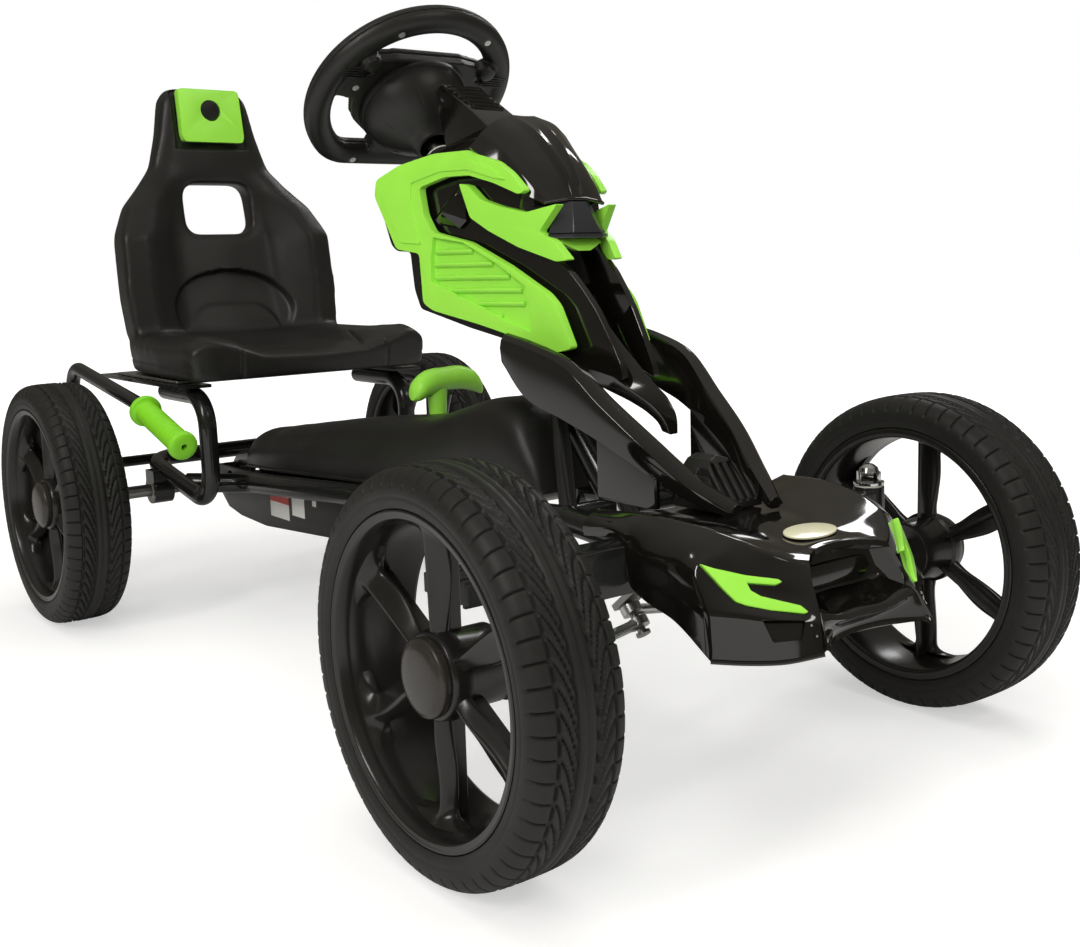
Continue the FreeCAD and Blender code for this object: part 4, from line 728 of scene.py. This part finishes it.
def side_panel_mesh():
    """Lime panel: bevelled hook above, and below it a raised border round the louvre slats."""
    outline = [(-52, 519), (-84, 531), (-132, 539), (-177, 539), (-213, 526), (-230, 515), (-248, 498),
               (-241, 495), (-210, 507), (-178, 516), (-146, 516), (-113, 508), (-120, 482), (-132, 465),
               (-180, 454), (-231, 431), (-277, 406), (-288, 396), (-308, 358), (-290, 354), (-245, 366),
               (-195, 378), (-136, 390), (-122, 397), (-115, 445), (-83, 450), (-50, 503)]
    outline = rounded_outline(outline, 4.5, 3)
    body = prism([on_plane(PANEL_PLANE, y, z, 2.2) for y, z in outline], (7.2, 0, 0))
    well = prism([on_plane(PANEL_PLANE, y, z, 6) for y, z in LOUVRE], (8.6, 0, 0))
    hook = [(-64, 514), (-84, 523), (-132, 531), (-177, 531), (-208, 520), (-226, 509), (-208, 512),
            (-178, 521), (-142, 521.5), (-103, 513), (-103, 495), (-112, 470), (-118, 454), (-90, 456),
            (-58, 503)]
    hook = rounded_outline(hook, 3, 3)
    crown = relief_plate(hook, (PANEL_PLANE[0] - 3.4, PANEL_PLANE[1], PANEL_PLANE[2]), 3.4, 1.1)
    parts = [bevelled(cut(body, well), 1.5, 3, 25), crown]
    for k in range(SLATS):
        z = LOUVRE_TOP - LOUVRE_PITCH * k
        spans = []
        for (y1, z1), (y2, z2) in zip(LOUVRE, LOUVRE[1:] + LOUVRE[:1]):
            if (z1 - z) * (z2 - z) < 0:
                spans.append(y1 + (y2 - y1) * (z - z1) / (z2 - z1))
        near, far = max(spans) - 3.0, min(spans) + 7.0
        profile = [(0.0, -3.4), (2.4, -1.6), (3.2, 0.2), (2.4, 1.6), (0.0, 2.0)]
        ends = [[on_plane(PANEL_PLANE, y, z + rise, out - 2.0) for out, rise in profile] for y in (near, far)]
        bar = mesh_from(ends[0] + ends[1], [(0, 1, 2, 3, 4), (9, 8, 7, 6, 5)]
                        + [(i, (i + 1) % 5, (i + 1) % 5 + 5, i + 5) for i in range(5)])
        parts.append(bevelled(facing_out(bar), 0.7, 2, 25, 40))
    return join_meshes(parts)


def cheek_mesh():
    """Gloss black half fairing with a faceted fin in the hook's opening."""
    outline = [(-38, 510), (-62, 454), (-70, 448), (-88, 447), (-95, 410), (-104, 391), (-170, 373),
               (-214, 363), (-262, 347), (-318, 337), (-347, 330), (-344, 342), (-331, 366), (-316, 390),
               (-303, 406), (-286, 424), (-258, 444), (-246, 470), (-240, 500), (-227, 518), (-202, 530),
               (-165, 533), (-121, 531), (-67, 524), (-40, 516)]
    outline = rounded_outline(outline, 4, 3)
    parts = [relief_plate(outline, (CHEEK_PLANE[0] + 1.4, CHEEK_PLANE[1], CHEEK_PLANE[2]), 6.6, 1.6)]
    fin = [(-154, 506), (-163, 502), (-166, 474), (-157, 467), (-131, 471), (-124, 477), (-141, 496)]
    points = [on_plane(CHEEK_PLANE, y, z, 2) for y, z in fin]
    ridge = on_plane(CHEEK_PLANE, -146, 483, 13)
    top = on_plane(CHEEK_PLANE, -157, 500, 8)
    count = len(points)
    faces = [(0, 1, count + 1), (1, 2, count + 1), (2, count, count + 1), (2, 3, count), (3, 4, count),
             (4, 5, count), (5, 6, count), (6, count + 1, count), (6, 0, count + 1),
             tuple(range(count - 1, -1, -1))]
    block = mesh_from(points + [ridge, top], faces)
    parts.append(bevelled(facing_out(block), 1.2, 3, 12, 25))
    return join_meshes(parts)


def lofted(sections, steps, edge=1.5, angle=30):
    """Closed body through loops of equal length, smooth along its run and bevelled round."""
    loops = fitted(np.array(sections, float), steps)
    count, width = loops.shape[:2]
    faces = [(i * width + k, i * width + (k + 1) % width, (i + 1) * width + (k + 1) % width,
              (i + 1) * width + k)
             for i in range(count - 1) for k in range(width)]
    faces += [tuple(range(width - 1, -1, -1)), tuple((count - 1) * width + k for k in range(width))]
    mesh = mesh_from(loops.reshape(-1, 3), faces)
    return bevelled(facing_out(mesh), edge, 3, angle)


def chin_mesh():
    """Keel under the lamp: a sharp front ridge that narrows to a hooked tip."""
    spine = [(-281, 396, 24, -276, 376, -262, 338), (-310, 370, 22, -301, 352, -290, 326),
             (-336, 348, 18, -326, 334, -314, 318), (-362, 328, 11, -352, 318, -340, 309),
             (-382, 314, 7, -372, 306, -360, 300), (-391, 300, 5, -382, 295, -371, 292),
             (-392, 286, 3.5, -386, 284, -374, 286)]
    sections = []
    for front_y, front_z, half, side_y, side_z, back_y, back_z in spine:
        sections.append([(0, front_y, front_z), (half, side_y, side_z), (half * 0.6, back_y, back_z),
                         (-half * 0.6, back_y, back_z), (-half, side_y, side_z)])
    return lofted(sections, 7, 1.3, 22)


def fang_mesh():
    """Right lime blade of the face piece, folded along its length."""
    outline = [(-165, 509), (-175, 507), (-190, 493), (-211, 486), (-242, 479), (-277, 485), (-256, 461),
               (-272, 452), (-287, 435), (-274, 434), (-232, 448), (-198, 464), (-177, 477)]
    outline = rounded_outline(outline, 2.5, 3)
    return relief_plate(outline, (FANG_PLANE[0] - 2.6, FANG_PLANE[1], 0), 8.6, 2.4)


def lamp_mesh():
    """Faceted trapezoid lens over a thin lip."""
    foot = [(-34, -262), (-16, -276), (16, -276), (34, -262), (24, -246), (-24, -246)]
    head = [(-17, -259), (-8, -265), (8, -265), (17, -259), (12, -248), (-12, -248)]
    lens = lofted([[(x, y, 459) for x, y in foot], [(x, y, 488) for x, y in head]], 1, 1.2, 12)
    lip = [(x * 1.04, y - 1.5, 454.5) for x, y in foot]
    plate = bevelled(prism(lip, (0, 0, 4.0)), 1.0, 2, 20, 30)
    return join_meshes([shade(lens, 14), plate])


def pod_mesh():
    """Instrument pod between the hood and the wheel, slatted across its sloping top."""
    side = [(-164, 560), (-134, 580), (-78, 613), (-68, 608), (-70, 590), (-84, 546), (-96, 538), (-150, 541)]
    sections = [[(x, y, z) for y, z in side] for x in (-24, -8, 8, 24)]
    parts = [lofted(sections, 1, 2.2, 25)]
    for k in range(6):
        y = -84 - 8.2 * k
        z = 613 + POD_SLOPE * (y + 78)
        bar = box_mesh((-19, y - 1.7, z - 1), (19, y + 1.7, z + 1.9))
        parts.append(bevelled(bar, 0.7, 2, 30))
    return join_meshes(parts)


def lamp_back_mesh():
    """Dark block that fills the face piece behind the lamp."""
    face = [(-36, -247, 452), (36, -247, 452), (41, -247, 470), (37, -247, 497), (-37, -247, 497),
            (-41, -247, 470)]
    return bevelled(prism(face, (0, 22, 0)), 1.5, 2, 30, 30)


def leg_mesh():
    """Right arched leg between the fairing and the nose."""
    stations = [(-82, -250, 372, -250, 346, 10), (-81, -288, 365, -281, 317, 13),
                (-77, -335, 350, -330, 300, 16), (-71, -372, 321, -366, 286, 18),
                (-62, -412, 291, -404, 267, 19), (-50, -445, 264, -436, 247, 19),
                (-30, -484, 240, -480, 229, 15)]
    sections = []
    for x, top_y, top_z, low_y, low_z, width in stations:
        sections.append([(x, low_y, low_z), (x - 1.5, (top_y + low_y) / 2, (top_z + low_z) / 2),
                         (x, top_y, top_z - 6), (x + 4, top_y, top_z - 1.5), (x + 8, top_y, top_z),
                         (x + width, top_y, top_z - 3), (x + width, low_y, low_z + 3),
                         (x + width - 6, low_y, low_z)])
    leg = lofted(sections, 10, 1.4, 24)
    web = [(-352, 300), (-352, 232), (-426, 232), (-426, 258), (-385, 288)]
    web = prism([(-58, y, z) for y, z in web], (6, 0, 0))
    return join_meshes([leg, bevelled(web, 1.6, 3, 25)])


def build_fairing():
    """All pieces of the upper bodywork."""
    for make, node in ((side_panel_mesh, "side_panel"), (cheek_mesh, "fairing")):
        right = make()
        stand_for(node + "_right", right)
        stand_for(node + "_left", moved(right, MIRROR))
    place_piece("chin_keel", chin_mesh(), "frame", "gloss_black")
    place_piece("lamp_back", lamp_back_mesh(), "frame", "gloss_black")
    blade = fang_mesh()
    bridge = prism([(-24, -268, 451), (-14, -270, 446), (-7, -272, 443), (7, -272, 443), (14, -270, 446),
                    (24, -268, 451), (22, -264, 454.5), (-22, -264, 454.5)], (0, 9, 0))
    bridge = bevelled(bridge, 1.2, 3, 28, 40)
    stand_for("fang_panel", blade, moved(blade, MIRROR), bridge)
    top = symmetric_surface(HOOD_ROWS, 12, 9, (), (1, 2, 4), 1)
    lip = tube([(-35, -257, 486.5), (-21, -261, 488.5), (-10, -263, 490), (10, -263, 490), (21, -261, 488.5),
                (35, -257, 486.5)], 1.8, 10)
    stand_for("hood", surface_mesh(top, 3.0), shade(lip, 50))
    deck = surface_mesh(symmetric_surface(DECK_ROWS, 12, 9, (), (1, 2), 2), 3.0)
    stand_for("dash", deck, pod_mesh())
    stand_for("headlamp", lamp_mesh())
    leg = leg_mesh()
    stand_for("front_legs", leg, moved(leg, MIRROR))


build_fairing()


# ---------------------------------------------------------------- nose

NOSE_ROWS = [
    [(0, -412, 228), (40, -412, 228), (84, -412, 233), (108, -414, 239), (117, -414, 235), (122, -411, 227),
     (122, -411, 223), (121, -411, 219)],
    [(0, -455, 229), (40, -455, 229), (80, -456, 236), (104, -458, 241), (114, -458, 234), (121, -456, 226),
     (121, -456, 222), (120, -456, 219)],
    [(0, -464, 229), (40, -464, 229), (79, -465, 236), (103, -466, 241), (113, -466, 233), (120, -465, 218),
     (121, -464, 202), (120, -464, 188)],
    [(0, -485, 228), (38, -485, 228), (76, -486, 235), (98, -488, 240), (110, -488, 230), (120, -486, 214),
     (121, -483, 198), (120, -479, 180)],
    [(0, -515, 226), (36, -515, 226), (68, -516, 232), (90, -518, 236), (104, -521, 228), (117, -516, 213),
     (120, -514, 190), (119, -512, 170)],
    [(0, -540, 222), (34, -540, 222), (60, -543, 226), (82, -541, 230), (97, -538, 222), (112, -531, 214),
     (118, -545, 182), (116, -546, 147)],
    [(0, -552, 220), (32, -553, 219), (52, -558, 220), (70, -558, 222), (80, -560, 206), (86, -562, 195),
     (100, -566, 182), (100, -566, 147)],
    [(0, -558, 219), (28, -560, 218), (44, -566, 217), (57, -569, 216), (66, -572, 203), (72, -577, 187),
     (80, -586, 178), (82, -587, 149)],
    [(0, -561, 218), (24, -564, 217), (36, -570, 216), (45, -577, 214), (50, -585, 199), (53, -592, 187),
     (56, -599, 173), (60, -604, 154)],
]
MOUTH_ROWS = [
    [(0, -561, 218), (24, -564, 217), (45, -577, 214)],
    [(0, -563, 214), (24, -565, 213), (46, -579, 210)],
    [(0, -552, 209), (24, -553, 208), (42, -562, 206)],
    [(0, -560, 182), (26, -562, 182), (45, -570, 186)],
    [(0, -594, 174), (28, -594, 174), (53, -593, 180)],
    [(0, -597, 171), (28, -597, 171), (55, -597, 176)],
    [(0, -588, 165), (28, -590, 165), (56, -600, 169)],
    [(0, -584, 157), (28, -588, 157), (59, -603, 157)],
    [(0, -586, 154), (28, -590, 154), (60, -604, 154)],
]
NOSE_STEPS = 8  # fine rows per coarse row of the nose
NOSE_CORNER = 5  # row where the skin turns from the wheel arch to the front
STRIP_PLANE = (-738.9, 0.721, 0.591)
SLANT = Vector((STRIP_PLANE[1], -1, STRIP_PLANE[2])).normalized()


def on_slant(x, z, out):
    """Point on the left slanted side of the nose, raised outwards."""
    a, b, c = STRIP_PLANE
    return tuple(Vector((x, a + b * x + c * z, z)) + SLANT * out)


def build_nose():
    """Nose cover with its mouth and corner tips, the lime strips, screws and the blank badge."""
    top = symmetric_surface(NOSE_ROWS, NOSE_STEPS, 8, (NOSE_CORNER,), (3, 6), 1)
    skin = surface_mesh(top, 3.0)
    pocket = [on_slant(x, z, -1.4) for x, z in ((89, 176), (64, 175), (70, 163), (87, 162))]
    cutter = modified(prism(pocket, SLANT * 20), bevel(1.5, 3, 30))
    skin = cut(skin, join_meshes([cutter, moved(cutter, MIRROR)]))
    floor_plate = prism([on_slant(x, z, -4.6) for x, z in ((92, 179), (61, 178), (67, 160), (90, 159))],
                        SLANT * 3.2)
    mouth = surface_mesh(symmetric_surface(MOUTH_ROWS, 6, 12, (1, 2, 3, 4, 5), (), 0), 2.5, (0, -1, 0))
    bezel = [(-33, -564, 204), (33, -564, 204), (38, -567, 196), (30, -566, 186), (-30, -566, 186),
             (-38, -567, 196)]
    bezel = bevelled(prism(bezel, (0, 3, 0)), 1.2, 2, 28, 30)
    edge = [(x, y - 0.8, z - 0.6) for x, y, z in top[:, -1]]
    rim = tube(smooth_line(edge[NOSE_CORNER * NOSE_STEPS:], 60), 1.7, 10)
    tip = lofted([[(50, -588, 190), (56, -597, 176), (60, -603, 156), (54, -590, 160)],
                  [(54, -596, 180), (58, -602, 170), (61, -606, 157), (56, -597, 160)],
                  [(59.5, -607.5, 160), (60, -608, 159), (60.5, -609, 157), (59.5, -608, 158)]], 4, 0.8, 15)
    parts = [skin, mouth, bezel]
    for half in (rim, tip, floor_plate):
        parts += [shade(half, 40), shade(moved(half, MIRROR), 40)]
    stand_for("nose_cover", *parts)
    outline = [(111.8, 214.8), (105, 211.5), (87.6, 206), (69.7, 202.7), (68, 200.8), (72.5, 198.9),
               (88.7, 201), (88.3, 196), (83.8, 192), (63, 185), (60, 180.7), (62.7, 179.5), (81.4, 182.4),
               (94.7, 186.3), (99.6, 189), (104, 197.4), (108, 206.8)]
    strip = prism([on_slant(x, z, -5) for x, z in outline], SLANT * 9.5)
    strip = bevelled(strip, 1.1, 3, 20)
    stand_for("nose_accents", strip, moved(strip, MIRROR))
    screws = []
    for x, z in ((61.5, 172), (61.0, 165)):
        head = spun([(0, 0.001), (0, 1.1), (0.5, 1.0), (1.0, 0.4), (1.1, 0.001)], 20)
        turn = Vector((1, 0, 0)).rotation_difference(SLANT).to_matrix().to_4x4()
        screw = moved(head, Matrix.Translation(on_slant(x, z, 3.4)) @ turn)
        screws += [screw, moved(screw, MIRROR)]
    place_piece("nose_screws", shade(join_meshes(screws), 40), "frame", "zinc_steel")
    turns = [2 * math.pi * k / 48 for k in range(48)]
    badge = [(27 * math.cos(a), -539 + 13.5 * math.sin(a), 222.6 + 0.16 * 13.5 * math.sin(a)) for a in turns]
    disc = bevelled(prism(badge, (0, 0, 1.6)), 0.6, 2, 30, 40)
    place_piece("nose_badge", disc, "frame", "gloss_black", BADGE)


build_nose()


# ---------------------------------------------------------------- console, levers and small parts

def build_console():
    """Cover over the chain with a hump over the chainring and a sunk lever gate."""
    stations = [(400, 172, 196, 202, 44), (368, 176, 212, 221, 51), (300, 180, 222, 232, 56),
                (200, 186, 236, 247, 57), (100, 192, 248, 259, 57), (0, 198, 257, 269, 57),
                (-60, 201, 265, 277, 56), (-110, 204, 278, 290, 53), (-160, 206, 290, 302, 49),
                (-190, 206, 290, 303, 47), (-212, 206, 280, 293, 46), (-232, 204, 258, 268, 44),
                (-246, 202, 232, 238, 42)]
    rows = []
    for y, low, edge, crest, half in stations:
        rows.append([(0, y, crest), (half * 0.6, y, crest - (crest - edge) * 0.15), (half * 0.88, y, edge),
                     (half, y, edge - 12), (half, y, low)])
    rows.append([(w, -250, 220 - w / 30) for w in (0, 25, 34, 40)] + [(41, -250, 202)])
    skin = symmetric_surface(rows, 8, 6, (), (), 2)
    rail = [(half + 0.5, y, low + 1.5) for y, low, _, _, half in stations]
    lip = tube(smooth_line(rail, 60), 2.0, 10)
    gate = rounded_outline([(28, 16), (52, 16), (52, 84), (28, 84)], 8)
    # the surround of the gate lies on the sloping top of the cover
    surround = tube([(x, y, 266.0 - 0.1 * y - abs(x) * 0.06 - 1.2) for x, y in gate], 2.2, 10, True)
    stand_for("console", surface_mesh(skin, 2.5), shade(lip, 50), shade(moved(lip, MIRROR), 50),
              shade(surround, 50))


def brake_grip_mesh():
    """Lime grip: a flange, a ribbed barrel and a knob with a hole in its end."""
    profile = [(0, 9.05), (0, 17.5), (0.8, 18.8), (2.2, 19), (5.6, 19), (6.8, 18.2), (7.4, 15)]
    at = 9.0
    while at < 106:
        profile += [(at, 13.6), (at + 0.9, 14.1), (at + 4.1, 14.1), (at + 5, 13.6)]
        at += 6.2
    profile += [(112, 14.5), (114, 16.6), (118, 17), (121.5, 16.4), (123.6, 14), (124, 9), (124, 3.6),
                (119, 3.4), (113, 3.4), (111, 9.05)]
    return shade(spun(profile, 64), 40)


def gear_handle_mesh():
    """Drooping crescent grip on a short neck."""
    low, high = (Vector(c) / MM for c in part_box("gear_handle"))
    middle = (low.y + high.y) / 2
    spine = [(low.x + 14, high.z - 28, 7), (low.x + 18, high.z - 25, 11.5),
             (low.x + 34, high.z - 17, 14.5), (low.x + 56, high.z - 14, 13.5),
             (high.x - 38, high.z - 14, 13.5), (high.x - 24, high.z - 18, 12.5),
             (high.x - 15, high.z - 25, 9), (high.x - 12, high.z - 29, 6)]
    turns = [2 * math.pi * k / 16 for k in range(16)]
    sections = []
    for x, z, reach in spine:
        sections.append([(x, middle + reach * 1.05 * math.cos(a), z + reach * math.sin(a)) for a in turns])
    grip = lofted(sections, 5, 1.5, 50)
    neck_x = low.x + 0.40 * (high.x - low.x)
    neck = spun([(low.z, 0.001), (low.z, 9.6), (high.z - 26, 11.4), (high.z - 14, 11.4),
                 (high.z - 14, 0.001)], 32, "Z")
    return shade(join_meshes([grip, moved(neck, Matrix.Translation((neck_x, middle, 0)))]), 50)


def build_labels():
    """Blank labels on the right face of the chain case."""
    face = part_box("chain_case")[0].x / MM - 0.3
    places = [("label_wide", 269, 322, 118, 149, LABEL), ("label_band", 269, 322, 138, 149, LABEL_RED),
              ("label_narrow", 226, 260, 127, 163, LABEL), ("label_small", 194, 204, 146, 158, LABEL)]
    for name, y0, y1, z0, z1, look in places:
        x = face - (0.2 if look is LABEL_RED else 0.0)
        sheet = prism([(x, y0, z0), (x, y1, z0), (x, y1, z1), (x, y0, z1)], (0.6, 0, 0))
        place_piece(name, bevelled(sheet, 0.15, 1, 30, 30), "frame", SLOT_OF["chain_case"], look)


def build_levers():
    """Brake grip along its bar, and gear handle."""
    start, end = Vector((-205, 345, 276)), Vector((-205, 215, 240))
    unit = (end - start).normalized()
    turn = Vector((1, 0, 0)).rotation_difference(unit).to_matrix().to_4x4()
    grip = moved(brake_grip_mesh(), Matrix.Translation(start + unit * 24) @ turn)
    stand_for("brake_grip", grip)
    stand_for("gear_handle", gear_handle_mesh())


build_console()
build_levers()
build_labels()


# ---------------------------------------------------------------- stage

CAMERA_PLACE = Vector((-737.6, -1180.6, 438.8)) * MM
CAMERA_AZIMUTH, CAMERA_ELEVATION, CAMERA_ROLL = (math.radians(a) for a in (-37.64, 7.93, -1.62))
SENSOR_MM, LENS_MM = 36.0, 42.29
FADE_START, FADE_END = 0.7, 2.4  # metres from the middle of the floor


def build_camera():
    """Camera at the object's three-quarter front view."""
    back = Vector((math.sin(CAMERA_AZIMUTH) * math.cos(CAMERA_ELEVATION),
                   -math.cos(CAMERA_AZIMUTH) * math.cos(CAMERA_ELEVATION), math.sin(CAMERA_ELEVATION)))
    right = (-back).cross(Vector((0, 0, 1))).normalized()
    up = right.cross(-back)
    tilted_right = right * math.cos(CAMERA_ROLL) + up * math.sin(CAMERA_ROLL)
    tilted_up = up * math.cos(CAMERA_ROLL) - right * math.sin(CAMERA_ROLL)
    data = bpy.data.cameras.new("camera")
    data.sensor_width, data.lens = SENSOR_MM, LENS_MM
    data.shift_x, data.shift_y = -0.0168, -0.0376
    data.clip_start = 0.01
    camera = into_scene("camera", data)
    turn = Matrix((tilted_right, tilted_up, back)).transposed().to_4x4()
    camera.matrix_world = Matrix.Translation(CAMERA_PLACE) @ turn
    bpy.context.scene.camera = camera


def area_light(name, place, target, size, power, colour=(1, 1, 1), mirrored=True):
    """Soft rectangular light aimed at a point, in metres and watts."""
    data = bpy.data.lights.new(name, "AREA")
    data.shape = "RECTANGLE"
    data.size, data.size_y = size
    data.energy = power
    data.color = colour
    light = into_scene(name, data)
    light.location = place
    light.rotation_euler = (Vector(target) - Vector(place)).to_track_quat("-Z", "Y").to_euler()
    light.visible_glossy = mirrored


def lit_to_white(mat):
    """Floor that fades into the white surrounding away from the kart, seen by the camera only."""
    new, link = mat.node_tree.nodes.new, mat.node_tree.links.new
    shader = preset(mat.node_tree.nodes["Principled BSDF"], Emission_Color=(1, 1, 1, 1))
    reach = new("ShaderNodeVectorMath")
    reach.operation = "LENGTH"
    fade = preset(new("ShaderNodeMapRange"), From_Min=FADE_START, From_Max=FADE_END, To_Min=0.50, To_Max=1.0)
    seen = new("ShaderNodeMath")
    seen.operation = "MULTIPLY"
    link(new("ShaderNodeTexCoord").outputs["Object"], reach.inputs[0])
    link(reach.outputs["Value"], fade.inputs["Value"])
    link(fade.outputs["Result"], seen.inputs[0])
    link(new("ShaderNodeLightPath").outputs["Is Camera Ray"], seen.inputs[1])
    link(seen.outputs["Value"], shader.inputs["Emission Strength"])


def build_stage():
    """Pale floor, soft lights and a pale surrounding."""
    bm = bmesh.new()
    bmesh.ops.create_grid(bm, x_segments=8, y_segments=8, size=30)
    floor_mesh = bpy.data.meshes.new("floor")
    bm.to_mesh(floor_mesh)
    bm.free()
    floor = into_scene("floor", floor_mesh)
    mat = plastic("floor paper", (0.66, 0.66, 0.66), 0.7, 0.05, tint=0.01)
    lit_to_white(mat)
    floor_mesh.materials.append(mat)
    world = bpy.data.worlds.new("studio")
    bpy.context.scene.world = world
    world.use_nodes = True
    tree = world.node_tree
    new, link = tree.nodes.new, tree.links.new
    around = preset(tree.nodes["Background"], Strength=1.0)
    split = new("ShaderNodeSeparateXYZ")
    ramp = colour_ramp(tree, (0.0, (0.15, 0.145, 0.13)), (1.0, (0.30, 0.29, 0.27)),
                       (0.35, (0.10, 0.088, 0.068)))
    link(new("ShaderNodeTexCoord").outputs["Generated"], split.inputs["Vector"])
    link(split.outputs["Z"], ramp.inputs["Fac"])
    link(ramp.outputs["Color"], around.inputs["Color"])
    seen = preset(new("ShaderNodeBackground"), Color=(1, 1, 1, 1))
    mix = new("ShaderNodeMixShader")
    link(new("ShaderNodeLightPath").outputs["Is Camera Ray"], mix.inputs["Fac"])
    link(around.outputs["Background"], mix.inputs[1])
    link(seen.outputs["Background"], mix.inputs[2])
    link(mix.outputs["Shader"], tree.nodes["World Output"].inputs["Surface"])
    area_light("top", (0.0, -0.3, 3.4), (0.0, 0.0, 0.3), (4.0, 4.0), 70, (1.0, 0.99, 0.97), False)
    area_light("fill", (-2.6, -2.4, 1.9), (0, 0, 0.3), (2.4, 2.0), 70, (1.0, 0.99, 0.96), False)
    area_light("key", (-2.5, -0.7, 2.1), (0, 0, 0.3), (0.5, 1.3), 22, (1.0, 0.98, 0.94))
    area_light("front", (0.6, -2.6, 2.4), (0, 0, 0.3), (1.2, 0.3), 8, (1.0, 0.97, 0.92))
    area_light("back", (2.4, 0.9, 2.6), (0, 0, 0.3), (0.4, 1.2), 12)
    bpy.context.scene.view_settings.view_transform = "Standard"


for plain_node in ("knuckle_nuts_left", "knuckle_nuts_right", "front_axle_beam", "knuckle_left",
                   "knuckle_right", "pedal_left", "pedal_right", "seat_plates", "chain_case", "intake"):
    softened(plain_node, 0.9)

for node_name, node_object in NODES.items():
    for material_slot in node_object.material_slots:
        material_slot.material = LOOK[SLOT_OF[node_name]]

build_camera()
build_stage()
